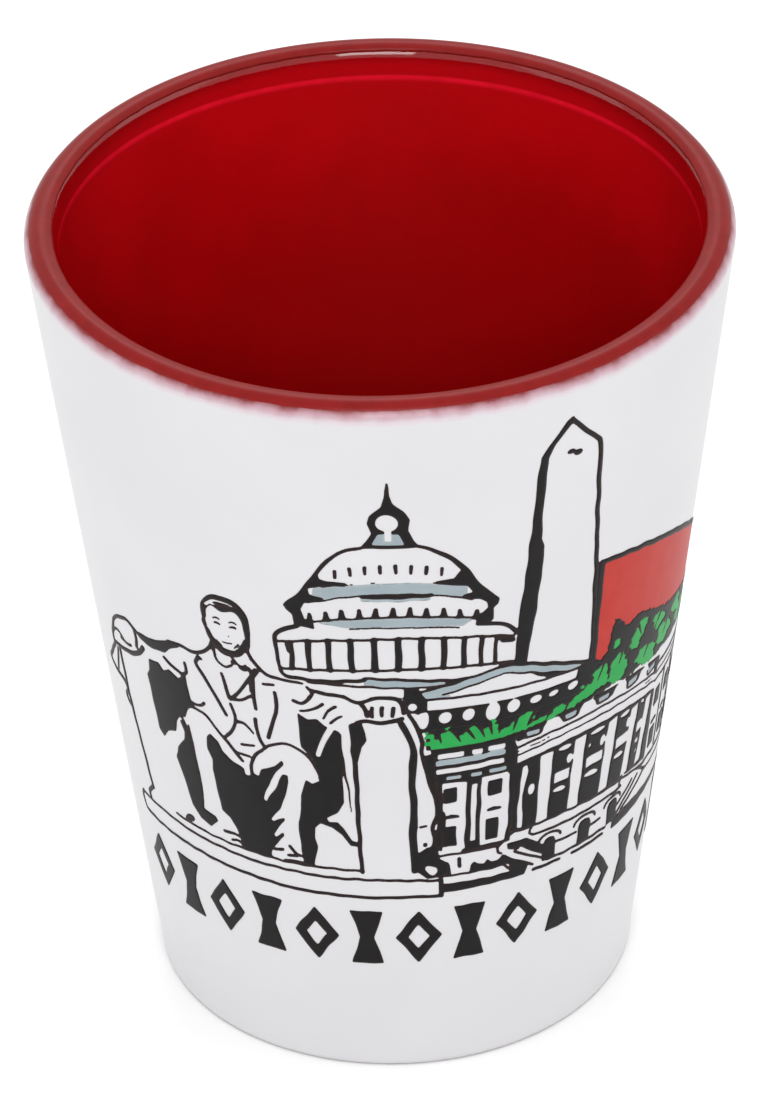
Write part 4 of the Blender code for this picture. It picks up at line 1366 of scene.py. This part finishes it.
@dataclass
class Statue:
    """Seated figure in a long coat on a block chair; the face is a calm, plain one."""

    face_middle: float = -30.8
    eye_level: float = 39.35

    def draw(self, art: Drawing) -> None:
        """Leave the figure's place bare, then draw chair, figure, head and the arm block."""
        art.motif = Motif.STATUE
        self.silhouette(art)
        self.chair(art)
        self.shadows(art)
        self.legs(art)
        self.coat(art)
        self.left_arm(art)
        self.right_arm(art)
        self.arm_block(art)
        self.head(art)

    def silhouette(self, art: Drawing) -> None:
        """Hide what stands behind the figure."""
        art.clear([(-64, 18.3), (-64.5, 31.5), (-66.8, 31.3), (-66, 32.5), (-61, 34.6), (-55, 34.5),
                   (-43.5, 36), (-35, 36.9), (-37.2, 38.5), (-37, 40.5), (-33, 41.8), (-28.5, 41.7),
                   (-25, 41), (-24.4, 39), (-26, 37), (-24, 36.4), (-21, 35.95), (-16, 35.7),
                   (-14, 35.15), (-5, 34.95), (2.2, 34.7), (2.6, 33.3), (4.6, 32.2), (5.8, 30.7),
                   (5.5, 29.5), (8.6, 24.5), (8.4, 22), (7.4, 20.4), (6, 18.2)])

    def chair(self, art: Drawing) -> None:
        """Far edge of the chair and the cloth hanging over it."""
        art.line([(-64.2, 31.3), (-64, 28.5), (-63.5, 26.4), (-61.8, 22.5), (-60.5, 19.7)], 0.34)
        art.rule([(-60.6, 19.75), (-62.8, 18.85), (-62.7, 18.1)], 0.34)
        art.line([(-66.4, 31.2), (-69, 29.9), (-71.4, 28.9), (-69.2, 28.3), (-65.2, 28.15),
                  (-64, 27.7)], 0.3, 0.4)
        art.line([(-65.4, 30.9), (-66.4, 29.7), (-67.6, 28.6)], 0.24)
        art.line([(-64.2, 27.5), (-65.4, 26.9), (-64.8, 26.4), (-63.4, 26.2)], 0.34)

    def shadows(self, art: Drawing) -> None:
        """Deep shade in the chair and under the coat."""
        art.fill([(-52.3, 32.8), (-49.5, 33), (-48.2, 32.55), (-46.4, 33), (-44, 32.6), (-42, 33.5),
                  (-41.6, 31.4), (-41.4, 31), (-40.4, 30.7), (-42.6, 30.3), (-43.8, 29.5),
                  (-44.6, 28.9), (-45.6, 28.95), (-46.6, 28.4), (-47.2, 27.4), (-49.8, 26.9),
                  (-51.4, 26.05), (-52.8, 26.5), (-53.8, 31.2), (-52.8, 31.8)])
        art.fill([(-45.6, 28.6), (-44.2, 29), (-43.2, 27.8), (-42.3, 24), (-42, 22), (-42.5, 21.25),
                  (-39.6, 20.95), (-39, 20.55), (-40.2, 20.15), (-41, 19.85), (-43.8, 20.1),
                  (-45.8, 21), (-47.6, 23.8), (-48.6, 24.9), (-47.6, 25.9), (-46.2, 26.5), (-45.2, 27),
                  (-44.8, 27.8)])
        art.fill([(-38.6, 28.4), (-37.8, 28.75), (-36, 28.3), (-35.2, 27.6), (-33, 27), (-30.6, 26.6),
                  (-30.4, 26.05), (-29.6, 26.1), (-28.6, 26.5), (-27.2, 26.3), (-26.6, 27), (-25, 27.3),
                  (-23.6, 27.6), (-21.9, 28.4), (-21.7, 28), (-23.4, 27), (-24.8, 26.2), (-26.8, 24.3),
                  (-26.2, 24.1), (-24, 25.6), (-22, 27), (-21, 27), (-20.9, 26.4), (-22, 24.9),
                  (-23.2, 23.8), (-25.6, 22.5), (-25, 22.4), (-22.6, 23), (-22.7, 22.7), (-25.4, 21.2),
                  (-25, 20.95), (-23, 21.65), (-22.9, 21.3), (-25.8, 19.9), (-26.3, 19.3), (-26, 18.85),
                  (-33.4, 18.95), (-33.6, 19.8), (-34.2, 20.6), (-35.6, 21.5), (-37.4, 21.9),
                  (-37.9, 23.5), (-38.4, 25.5), (-38.1, 26.4), (-38.9, 27.2)])
        art.fill([(-17.9, 33), (-17.4, 32.8), (-15.8, 32.5), (-14, 32.6), (-12.6, 32.1), (-11.2, 31.9),
                  (-9.9, 31.6), (-9.6, 29), (-9.9, 26.5), (-9.8, 25.2), (-11.4, 24.2), (-13.6, 23.6),
                  (-13.2, 23.25), (-11.4, 23.3), (-10.2, 22.8), (-8.7, 21.75), (-7, 21.5), (-7.2, 21.2),
                  (-9, 21.25), (-10.6, 22.2), (-12.5, 22.8), (-15, 23.05), (-16.2, 22.6), (-16.3, 21.6),
                  (-15.9, 20.8), (-16.8, 19), (-19, 18.95), (-19.6, 20.3), (-19.5, 22.8), (-18.8, 24.2),
                  (-18.6, 25.4), (-17.2, 26.9), (-16, 26.65), (-14.5, 27), (-14.5, 27.8), (-16, 29.2),
                  (-17.6, 29.9), (-17.8, 31.2)])
        art.gap([(-10.6, 32.6), (-12.6, 31.2), (-14.4, 29.4)], 0.5, 0.36)
        art.gap([(-12.6, 33.6), (-15.2, 32.7)], 0.24, 0.16)

    def legs(self, art: Drawing) -> None:
        """Knees, the coat's skirts over them, shoes and the ground line."""
        art.line([(-43.9, 29.3), (-42.8, 30.2), (-41, 30.55), (-38.5, 30.4), (-36.2, 29.6),
                  (-34.2, 28.8), (-32.4, 28.1), (-30.6, 27.3)], 0.2, 0.26)
        art.line([(-41.6, 31.05), (-40.2, 31), (-39, 31.15), (-38.2, 31.45)], 0.2, 0.26)
        art.line([(-26.2, 28.7), (-24.2, 29.4), (-21.4, 29.9), (-18.6, 29.7), (-16.4, 29),
                  (-14.6, 27.8), (-14.4, 27.2)], 0.22)
        art.line([(-28.8, 26.4), (-28.7, 27.3), (-27.4, 28.3), (-25, 29.1)], 0.3, 0.2)
        art.line([(-43.2, 28.6), (-42.6, 26), (-42.2, 22.4)], 0.16)
        art.line([(-37.6, 19.95), (-35.2, 20.05), (-33.4, 19.95)], 0.24)
        art.line([(-35.8, 19.4), (-34.2, 19.5), (-33, 19.25)], 0.22)
        art.line([(-48.6, 19.25), (-47.6, 19.65), (-46.4, 19.7), (-46.6, 19.45), (-48, 19.2)], 0.26)
        art.line([(-25.6, 19.8), (-23.6, 20)], 0.24)
        art.line([(-21.9, 20.4), (-20.8, 19.85), (-19.6, 19.7)], 0.26, 0.2)
        art.line([(-22.6, 19.55), (-20.6, 19.6)], 0.24)
        art.line([(-23.4, 19.05), (-19.2, 19.1)], 0.24)
        art.line([(-52.2, 19), (-40, 18.98), (-24, 18.9), (-6.6, 18.92)], 0.2)

    def coat(self, art: Drawing) -> None:
        """Shoulders, lapels, waistcoat, tie and the coat's open edges."""
        art.line([(-45.4, 35.7), (-42, 35.9), (-39, 35.85), (-36.8, 36.2), (-35, 36.8), (-34.2, 37.4)],
                 0.24, 0.3)
        art.line([(-37.6, 35.6), (-38.7, 34.9), (-37, 33.8), (-34.6, 32.2), (-33, 31.1)], 0.28)
        art.line([(-38.6, 35.1), (-38, 35.6), (-37.2, 35.5)], 0.22)
        art.line([(-41.6, 34.4), (-41.6, 33.6), (-43, 33.2)], 0.22, 0.3)
        art.line([(-47.2, 33.9), (-45.6, 33.5), (-43.2, 33.3)], 0.3)
        art.line([(-34.2, 28.9), (-32.6, 29.7), (-31.2, 30.6), (-31, 31.4), (-31.8, 32.3)], 0.24)
        art.line([(-33.6, 28.7), (-32, 28), (-28.8, 27.95)], 0.18)
        art.line([(-26.9, 36.1), (-26.3, 35.4), (-26.3, 34), (-26.4, 32.5)], 0.26)
        art.line([(-25.6, 36.1), (-27.4, 34.9), (-30, 33.4), (-31.6, 32.7)], 0.26)
        art.line([(-26.6, 33.7), (-29, 33), (-31.8, 32.7)], 0.22)
        art.line([(-33, 34.9), (-32.3, 33.9), (-31.9, 32.8)], 0.2, 0.3)
        art.line([(-22, 34.4), (-22, 32.8), (-23, 31.6), (-24.3, 30.1)], 0.28)
        art.line([(-26.6, 31.6), (-26.3, 30), (-25.2, 29.1)], 0.3, 0.24)
        art.line([(-30.6, 30.8), (-29.2, 30.8), (-27.4, 30.2)], 0.3, 0.16)
        art.line([(-30.4, 28.8), (-28.8, 28.9), (-27.4, 29.1)], 0.24, 0.18)
        art.line([(-26, 36.95), (-24.6, 36.3), (-22.6, 35.85), (-19, 35.75), (-16.4, 35.65)], 0.3, 0.2)
        art.line([(-24.6, 36.3), (-26.6, 35), (-26.8, 34)], 0.22)
        art.line([(-34, 36.9), (-33.6, 36), (-31.8, 35.6), (-30.2, 35.9)], 0.2)
        art.line([(-30.2, 36.6), (-28.4, 36), (-27.4, 36.3)], 0.18)
        art.fill(oval(-28.0, 35.95, 0.9, 0.24), smooth=True)
        art.fill(oval(-29.9, 36.2, 0.6, 0.2), smooth=True)

    def left_arm(self, art: Drawing) -> None:
        """Sleeve, cuff and hand on the chair's far arm."""
        art.line([(-66.6, 32), (-65.6, 32.9), (-64.6, 33.6), (-61.8, 34.4), (-58.4, 34.85),
                  (-55.6, 34.5)], 0.26, 0.34)
        art.line([(-66.8, 31.2), (-66.6, 31.9), (-65.4, 32.6)], 0.26)
        art.line([(-66.4, 31.25), (-63, 31.5), (-59, 31.9), (-56, 32.5), (-53.8, 33.4)], 0.3, 0.44)
        art.line([(-56.1, 34.4), (-55.7, 33.8), (-56.2, 33)], 0.3)
        art.line([(-65.6, 32.6), (-63.6, 32.9), (-61.4, 32.6)], 0.2)
        art.line([(-62.6, 32.45), (-59.8, 32.45), (-58.4, 32.65)], 0.24)
        art.fill([(-55.8, 34.5), (-49, 35.05), (-45, 35.8), (-42.4, 35.95), (-42.8, 35.6), (-45.2, 35),
                  (-46.8, 34.4), (-50, 34.05), (-54.2, 34.1)])

    def right_arm(self, art: Drawing) -> None:
        """Sleeve folds and the hand that lies on the near arm block."""
        art.line([(-24.2, 34.95), (-22, 35.1)], 0.24)
        art.line([(-15.6, 35.4), (-14.7, 34.9), (-15.4, 34.5)], 0.22)
        art.line([(-18.4, 34), (-16.8, 33.9), (-15.2, 34.5), (-14.4, 35.05)], 0.3, 0.16)
        art.line([(-17.4, 33.15), (-15.2, 33.4), (-12.8, 34.1)], 0.18, 0.26)
        art.line([(-12.9, 32.7), (-12, 33.4), (-10.4, 33.9)], 0.16, 0.26)
        art.line([(-11.6, 32.4), (-10, 32.9), (-9.2, 33.1)], 0.22, 0.14)
        art.line([(-14.8, 35.2), (-12.4, 34.95), (-9, 34.85), (-7.2, 34.5), (-5.8, 34.4), (-2.6, 34.85),
                  (0.4, 34.75), (1.8, 34.3), (2.2, 33.4)], 0.24, 0.34)
        art.line([(-6, 34.4), (-4.9, 33.8), (-4.6, 33.2)], 0.3)
        for d, h in ((-3.6, 33.5), (-1.7, 33.55), (0.2, 33.5)):
            art.line([(d, h + 0.45), (d - 0.1, h - 0.35)], 0.3, 0.24)
        art.line([(-6.6, 32.6), (-4.6, 32.75), (-1.6, 32.6), (1.8, 32.9)], 0.3, 0.36)

    def arm_block(self, art: Drawing) -> None:
        """Near arm block, the drapery behind it and the rocks at its foot."""
        art.line([(-7.6, 32.3), (-7.4, 31), (-7.2, 28), (-7.2, 24), (-6.9, 18.8)], 0.44, 0.3)
        art.fill([(-7.6, 32.6), (-5.6, 32.5), (-5, 31.6), (-4.8, 31), (-6, 30.4), (-6.6, 29),
                  (-7.6, 28.4), (-8, 30)])
        art.line([(-9.9, 31.4), (-9.7, 29), (-9, 27), (-8.4, 24)], 0.22, 0.12)
        art.line([(1.6, 32.5), (2.8, 31.5), (3.7, 30.4), (3.9, 29.2), (3.6, 27.4), (3.9, 25), (3.7, 22),
                  (4.1, 18.9)], 0.42, 0.6)
        art.line([(3.2, 33.2), (4.7, 32), (5.7, 30.7), (5.5, 29.6), (6.7, 27.4), (8.1, 25.3), (8.6, 24),
                  (7.6, 22.8), (8.2, 21.6), (7.2, 20.6), (5, 20)], 0.3)
        art.fill([(6, 29.4), (8.2, 29.6), (8.4, 26.4), (9.4, 24.6), (9.6, 20.4), (8.4, 21), (8.4, 22.4),
                  (8.7, 24), (8.2, 25.4), (6.8, 27.4)])
        art.line([(5, 22.9), (6.4, 22.95)], 0.18)
        art.fill(oval(6.1, 21.2, 0.5, 0.2), smooth=True)
        art.fill([(3.8, 20.3), (6.4, 20.9), (8.6, 21.1), (9.2, 19.8), (10.9, 19.3), (11, 18.5),
                  (9.6, 18.1), (6.4, 18.15), (3.9, 18.9)])
        art.clear([(6.6, 19.25), (8.3, 19), (8.5, 18.6), (7.6, 18.35), (6.2, 18.9)], smooth=True)

    def head(self, art: Drawing) -> None:
        """Bare head with short parted hair and a short beard, turned to the viewer."""
        m, eye = self.face_middle, self.eye_level
        skull = [(m - 4.3, 38.6), (m - 4.6, 39.6), (m - 4.2, 40.8), (m - 2.6, 41.6), (m, 41.85),
                 (m + 2.8, 41.6), (m + 4.4, 40.8), (m + 4.7, 39.6), (m + 4.3, 38.4), (m + 3.2, 37.4),
                 (m + 1.4, 36.85), (m - 0.6, 36.8), (m - 2.6, 37.2), (m - 3.7, 37.9)]
        art.clear(skull, smooth=True)
        art.line([*skull, skull[0]], 0.22)
        art.fill([(m - 4.6, 39.7), (m - 4.2, 40.9), (m - 2.6, 41.65), (m, 41.85), (m + 2.8, 41.6),
                  (m + 4.6, 40.8), (m + 5.2, 39.6), (m + 4.9, 38.6), (m + 4.4, 37.6), (m + 3.9, 38.2),
                  (m + 3.8, 39.2), (m + 3.5, 40.2), (m + 2.0, 40.75), (m - 0.6, 40.5), (m - 2.4, 40.75),
                  (m - 3.6, 40.3), (m - 4.0, 39.6)], smooth=True)
        art.gap([(m - 3.6, 40.75), (m - 2.0, 41.3), (m + 0.4, 41.45), (m + 2.4, 41.2)], 0.24, 0.12)
        art.gap([(m - 2.6, 40.95), (m - 0.8, 41.0), (m + 1.4, 41.1)], 0.16, 0.08)
        art.line([(m - 4.4, 39.5), (m - 4.9, 39.2), (m - 4.5, 38.7)], 0.18)
        for side in (-1, 1):
            art.line([(m + side * 0.9, eye + 0.4), (m + side * 1.7, eye + 0.5),
                      (m + side * 2.5, eye + 0.36)], 0.14)
            art.line([(m + side * 1.0, eye), (m + side * 1.7, eye + 0.08), (m + side * 2.3, eye)], 0.17)
        art.line([(m + 0.45, eye - 0.2), (m + 0.62, eye - 0.85), (m + 0.1, eye - 1.05)], 0.12)
        art.line([(m - 1.0, 37.85), (m, 37.8), (m + 1.1, 37.86)], 0.14)
        art.line([(m - 4.0, 38.5), (m - 3.2, 37.9), (m - 2.0, 37.35), (m - 0.4, 37.1), (m + 1.4, 37.1),
                  (m + 2.8, 37.5), (m + 3.9, 38.4)], 0.3, 0.4)
        art.line([(m - 2.2, 37.9), (m - 1.2, 37.5)], 0.12)
        art.line([(m + 2.4, 38.0), (m + 1.4, 37.5)], 0.14)
        art.line([(m - 3.0, 37.2), (m - 3.3, 36.7)], 0.2)
        art.line([(m + 4.1, 37.6), (m + 4.8, 37.0)], 0.26)


@dataclass
class Plinth:
    """Long low slab under the statue."""

    left: float = -67.2
    right: float = 9.5
    top: float = 18.12
    foot: float = 16.5

    def draw(self, art: Drawing) -> None:
        """Draw the slab's four edges."""
        art.motif = Motif.PLINTH
        art.clear([(self.left, self.foot), (self.right, self.foot - 0.1), (self.right, self.top - 0.3),
                   (self.left, self.top)])
        art.line([(self.left + 0.4, self.top - 0.1), (-55.0, self.top + 0.12), (-40.0, self.top + 0.06),
                  (-20.0, self.top), (0.0, self.top - 0.05), (self.right, self.top - 0.35)], 0.2, 0.24)
        art.line([(self.left + 1.2, self.foot), (-45.0, self.foot + 0.2), (-20.0, self.foot),
                  (0.0, self.foot - 0.05), (self.right, self.foot - 0.15)], 0.26)
        art.line([(self.left + 0.5, self.top - 0.1), (self.left - 0.2, 17.5),
                  (self.left + 0.5, self.foot)], 0.4, 0.24)
        art.rule([(self.right, self.top - 0.35), (self.right, self.foot - 0.15)], 0.36)


@dataclass
class OrnamentBand:
    """Row of pierced lozenges and hourglasses in turn."""

    count: int = 16
    first: float = -62.5
    pitch: float = 11.2
    low: float = 10.2
    high: float = 15.1
    lozenge_half: float = 5.0
    hole_half_width: float = 2.4
    hole_half_height: float = 1.15
    hourglass_half: float = 3.6
    waist_half: float = 1.5

    def draw(self, art: Drawing) -> None:
        """Draw every unit of the row."""
        art.motif = Motif.BAND
        middle = (self.low + self.high) / 2
        for k in range(self.count):
            d = self.first + k * self.pitch
            if k % 2 == 0:
                art.fill([(d - self.lozenge_half, middle), (d, self.low),
                          (d + self.lozenge_half, middle), (d, self.high)])
                art.clear([(d - self.hole_half_width, middle), (d, middle - self.hole_half_height),
                           (d + self.hole_half_width, middle), (d, middle + self.hole_half_height)])
            else:
                left, right = d - self.hourglass_half, d + self.hourglass_half
                art.fill([(left, self.low), (right, self.low), (d + self.waist_half, middle),
                          (right, self.high), (left, self.high), (d - self.waist_half, middle)])


# ---- Ink films ----
@dataclass
class Press:
    """Turns a drawing's layers into closed films of ink that lie on the coated wall."""

    wall: Wall
    materials: dict[Slot, bpy.types.Material]
    sink_mm: float = 0.012
    black_mm: float = 0.05  # its edges, at rim_share of this, still lie above the colours
    colour_mm: float = 0.024
    rim_share: float = 0.55
    round_mm: float = 0.14
    lay: tuple[float, float, float] = (-0.156, 0.189, 0.112)
    turn_degrees: float = 0.1
    mend_rounds: int = 12
    near_cells: float = 0.8
    step_cells: float = 0.75
    least_slope: float = 0.15

    def laid(self, drawn_mm: np.ndarray) -> np.ndarray:
        """Height on the wall of a drawn height: a shift, a stretch and a slight bow, which the
        screen's wrap round a cone gives.

        With t the height from 30 mm in steps of 20 mm, it adds lay[0] + lay[1] t + lay[2] t squared.
        """
        step = (drawn_mm - 30.0) / 20.0
        return drawn_mm + self.lay[0] + self.lay[1] * step + self.lay[2] * step ** 2

    def cells(self, depth: np.ndarray, allowed: np.ndarray) -> np.ndarray:
        """Grid cells that carry ink: mean depth above 0, and no two cells that meet at a corner only.

        Args:
            depth: signed depth at the grid's points.
            allowed: which points may belong to this film.

        Returns:
            A mask of cells.
        """
        mean = (depth[:-1, :-1] + depth[1:, :-1] + depth[:-1, 1:] + depth[1:, 1:]) / 4
        keep = (mean > 0.0) & allowed[:-1, :-1]
        keep[[0, -1], :] = False
        keep[:, [0, -1]] = False
        for _ in range(self.mend_rounds):
            a, b, c, d = keep[:-1, :-1], keep[:-1, 1:], keep[1:, :-1], keep[1:, 1:]
            falling = a & d & ~b & ~c
            rising = b & c & ~a & ~d
            if not (falling.any() or rising.any()):
                break
            fixed = keep.copy()
            fixed[:-1, 1:] |= falling
            fixed[:-1, :-1] |= rising
            keep = fixed
        return keep

    def snapped(self, art: Drawing, depth: np.ndarray) -> tuple[np.ndarray, np.ndarray, np.ndarray]:
        """Move points near the ink's edge on to it, along the depth's slope.

        Args:
            art: the drawing, for its grid.
            depth: signed depth at the grid's points.

        Returns:
            (u, v, depth) of all grid points after the move, in mm.
        """
        slope_v, slope_u = np.gradient(depth, art.cell)
        square = np.maximum(slope_u ** 2 + slope_v ** 2, self.least_slope)
        near = np.abs(depth) < self.near_cells * art.cell
        limit = self.step_cells * art.cell
        move_u = np.where(near, np.clip(-depth * slope_u / square, -limit, limit), 0.0)
        move_v = np.where(near, np.clip(-depth * slope_v / square, -limit, limit), 0.0)
        grid_u, grid_v = np.meshgrid(art.across, art.up)
        return grid_u + move_u, grid_v + move_v, np.where(near, 0.0, depth)

    def film(self, name: str, art: Drawing, ink: Ink, allowed: np.ndarray,
             thickness_mm: float) -> bpy.types.Object:
        """Build one closed film.

        Its top rises from rim_share of the thickness at the edge to the full thickness round_mm inside,
        its bottom lies sink_mm inside the enamel, and a side runs along every edge of its outline.

        Args:
            name: the piece's name.
            art: the drawing.
            ink: the layer to print.
            allowed: which grid points may belong to this film.
            thickness_mm: of the cured ink.

        Returns:
            The object, with the point attribute `ink_body`.
        """
        keep = self.cells(art.depth[ink], allowed)
        u, v, depth = self.snapped(art, art.depth[ink])
        index = np.arange(u.size).reshape(u.shape)
        low_left, low_right = index[:-1, :-1], index[:-1, 1:]
        high_left, high_right = index[1:, :-1], index[1:, 1:]
        top = np.stack([low_left, low_right, high_right, high_left], axis=-1)[keep]
        starts, ends = [], []
        for shift, first, last in ((np.roll(keep, 1, 0), low_left, low_right),
                                   (np.roll(keep, -1, 1), low_right, high_right),
                                   (np.roll(keep, -1, 0), high_right, high_left),
                                   (np.roll(keep, 1, 1), high_left, low_left)):
            edge = keep & ~shift
            starts.append(first[edge])
            ends.append(last[edge])
        start, end = np.concatenate(starts), np.concatenate(ends)
        used, flat = np.unique(top, return_inverse=True)
        top = flat.reshape(top.shape)
        start, end = np.searchsorted(used, start), np.searchsorted(used, end)
        count = len(used)
        quads = np.concatenate([top, top[:, ::-1] + count,
                                np.stack([end, start, start + count, end + count], axis=-1)])
        inside = np.clip(depth.ravel()[used] / self.round_mm, 0.0, 1.0)
        soft = inside ** 2 * (3 - 2 * inside)
        lift = thickness_mm * (self.rim_share + (1 - self.rim_share) * soft)
        degrees = np.tile(u.ravel()[used] / MM_PER_DEGREE + self.turn_degrees, 2)
        height = np.tile(self.laid(v.ravel()[used]), 2) * MM
        lift = np.concatenate([lift, np.full(count, -self.sink_mm)]) * MM
        obj = mesh_object(name, self.wall.place(degrees, height, lift), quads)
        body = obj.data.attributes.new("ink_body", "FLOAT", "POINT")
        body.data.foreach_set("value", np.tile(inside, 2).astype(np.float32))
        return obj

    def print_film(self, name: str, art: Drawing, ink: Ink, slot: Slot, nodes: Sequence[str],
                   motif: Motif | None = None) -> None:
        """Print one layer, or one motif of the black layer, and dress it.

        Args:
            name: the piece's name.
            art: the drawing.
            ink: the layer.
            slot: the finish.
            nodes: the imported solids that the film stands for.
            motif: the black layer's motif, or None for the whole layer.
        """
        shape = art.owner.shape
        allowed = np.ones(shape, bool) if motif is None else art.owner == motif.value
        thickness = self.black_mm if ink is Ink.BLACK else self.colour_mm
        obj = self.film(name, art, ink, allowed, thickness)
        dress(obj, slot, self.materials, *nodes)


@dataclass
class Print:
    """The whole print: the picture and the band of ornaments below it."""

    picture_area: tuple[float, float, float, float] = (-76.0, 108.0, 15.4, 57.2)
    band_area: tuple[float, float, float, float] = (-72.0, 112.0, 9.7, 15.6)
    cell: float = 0.085

    def build(self, press: Press) -> None:
        """Draw, then print colours first and black last."""
        art = Drawing(*self.picture_area, self.cell)
        for scenery in (Obelisk(), Dome(), Portico(), Panel(), Foliage(), Hall(), Statue(), Plinth()):
            scenery.draw(art)
        art.soften()
        press.print_film("print_tint", art, Ink.TINT, Slot.TINT_INK, ["tint_cornice"])
        press.print_film("print_red_panel", art, Ink.RED, Slot.RED_INK, ["red_panel"])
        press.print_film("print_green_foliage", art, Ink.GREEN, Slot.GREEN_INK, ["green_hedge"])
        for motif, nodes in (
                (Motif.OBELISK, ["ink_obelisk"]),
                (Motif.DOME, ["ink_domed_hall"]),
                (Motif.PORTICO, ["ink_portico"]),
                (Motif.PANEL, ["ink_panel_outline"]),
                (Motif.FOLIAGE, []),
                (Motif.HALL, ["ink_left_wing", "ink_bay", "ink_right_wing", "ink_cornice",
                              "ink_terrace", "ink_ledge", "ink_far_steps"]),
                (Motif.STATUE, ["ink_figure_outline", "ink_chair_shadow", "ink_left_leg_shadow",
                                "ink_lap_shadow", "ink_right_leg_shadow", "ink_arm_block"]),
                (Motif.PLINTH, ["ink_plinth"])):
            press.print_film(f"print_{motif.name.lower()}", art, Ink.BLACK, Slot.BLACK_INK, nodes,
                             motif)
        band = Drawing(*self.band_area, self.cell)
        ornaments = OrnamentBand()
        ornaments.draw(band)
        band.soften()
        press.print_film("print_ornament_band", band, Ink.BLACK, Slot.BLACK_INK,
                         [f"ink_ornament_{k:02d}" for k in range(1, ornaments.count + 1)])


# ---- Studio ----
@dataclass(frozen=True)
class SoftBox:
    """A square soft box that faces the glass. Sizes in metres, power in watts."""

    name: str
    place: tuple[float, float, float]
    size: float
    power: float
    aim: tuple[float, float, float] = (0.0, 0.0, 0.03)

    def build(self) -> None:
        """Add the lamp."""
        data = bpy.data.lights.new(self.name, "AREA")
        data.shape = "SQUARE"
        data.size = self.size
        data.energy = self.power
        obj = bpy.data.objects.new(self.name, data)
        bpy.context.scene.collection.objects.link(obj)
        turn = (Vector(self.aim) - Vector(self.place)).to_track_quat("-Z", "Y")
        obj.matrix_world = Matrix.Translation(self.place) @ turn.to_matrix().to_4x4()


@dataclass(frozen=True)
class Studio:
    """Pale floor, soft light and a long-lens camera that looks down on the rim.

    Sizes in metres and angles in degrees.
    """

    distance: float = 0.593
    elevation: float = 34.14
    target_height: float = 0.03218
    lens_mm: float = 275.7
    sensor_mm: float = 36.0
    clip: tuple[float, float] = (0.01, 20.0)
    roll: float = -1.37
    shift: tuple[float, float] = (-0.0068, -0.0003)
    floor_half: float = 1.5
    floor_steps: int = 24
    floor_drop: float = 0.00002  # keeps the floor clear of the foot
    tent_colour: str = "#FFFFFF"
    tent_strength: float = 0.855
    lamps: tuple[SoftBox, ...] = (
        SoftBox("soft_box_front", (0.0, -0.69, 0.61), 0.36, 2.7),
        SoftBox("soft_box_back", (0.0, 0.5, 0.6), 0.36, 1.2),
        SoftBox("soft_box_left", (-0.7, -0.2, 0.35), 0.5, 0.5),
        SoftBox("soft_box_right", (0.7, -0.1, 0.35), 0.5, 0.5))

    def camera(self) -> None:
        """Place the camera on a sphere round the target and roll it about its own axis."""
        data = bpy.data.cameras.new("camera")
        data.lens = self.lens_mm
        data.sensor_width = self.sensor_mm
        data.shift_x, data.shift_y = self.shift
        data.clip_start, data.clip_end = self.clip
        obj = bpy.data.objects.new("camera", data)
        bpy.context.scene.collection.objects.link(obj)
        rise = math.radians(self.elevation)
        back = Vector((0.0, -math.cos(rise), math.sin(rise)))
        place = Vector((0.0, 0.0, self.target_height)) + back * self.distance
        turn = (-back).to_track_quat("-Z", "Y").to_matrix().to_4x4()
        roll = Matrix.Rotation(math.radians(self.roll), 4, "Z")
        obj.matrix_world = Matrix.Translation(place) @ turn @ roll
        bpy.context.scene.camera = obj

    def floor(self) -> None:
        """A wide plain floor, as a fine square grid so that it isn't a single face."""
        line = np.linspace(-self.floor_half, self.floor_half, self.floor_steps + 1)
        grid_x, grid_y = np.meshgrid(line, line)
        vertices = np.stack([grid_x.ravel(), grid_y.ravel(), np.full(grid_x.size, -self.floor_drop)],
                            axis=-1)
        index = np.arange(grid_x.size).reshape(grid_x.shape)
        quads = np.stack([index[:-1, :-1], index[:-1, 1:], index[1:, 1:], index[1:, :-1]], axis=-1)
        obj = mesh_object("studio_floor", vertices, quads.reshape(-1, 4))
        obj.data.materials.append(StudioPaper().build())

    def tent(self) -> None:
        """Even white surroundings, as in a light tent."""
        world = bpy.data.worlds.new("light_tent")
        world.use_nodes = True
        background = world.node_tree.nodes["Background"]
        background.inputs["Color"].default_value = linear(self.tent_colour)
        background.inputs["Strength"].default_value = self.tent_strength
        bpy.context.scene.world = world

    def build(self) -> None:
        """Set up the camera, the floor and the lights."""
        bpy.context.scene.view_settings.view_transform = "Standard"
        self.camera()
        self.floor()
        self.tent()
        for lamp in self.lamps:
            lamp.build()
        LOG.info("studio: %d soft boxes in a light tent", len(self.lamps))


def main() -> None:
    """Build the studio, the glass and its coats, and the print."""
    logging.basicConfig(level=logging.INFO, format="%(name)s: %(message)s")
    Studio().build()
    materials = {
        Slot.CLEAR_GLASS: ClearGlass().build(),
        Slot.RED_ENAMEL: RedEnamel().build(),
        Slot.WHITE_ENAMEL: WhiteEnamel().build(),
        Slot.BLACK_INK: PrintedInk("black_ink_printed", "#110F0F", "#161414", "#261717").build(),
        Slot.GREEN_INK: PrintedInk("green_ink_printed", "#1E9444", "#2A9A4C", "#2F8A4A").build(),
        Slot.RED_INK: PrintedInk("red_ink_printed", "#AE2A22", "#B3322A", "#A63A34").build(),
        Slot.TINT_INK: PrintedInk("tint_ink_printed", "#8E9BA1", "#97A3A8", "#A1A9AD").build(),
    }
    wall = Wall()
    Tumbler(wall).build(materials)
    Print().build(Press(wall, materials))


if __name__ == "__main__":
    main()
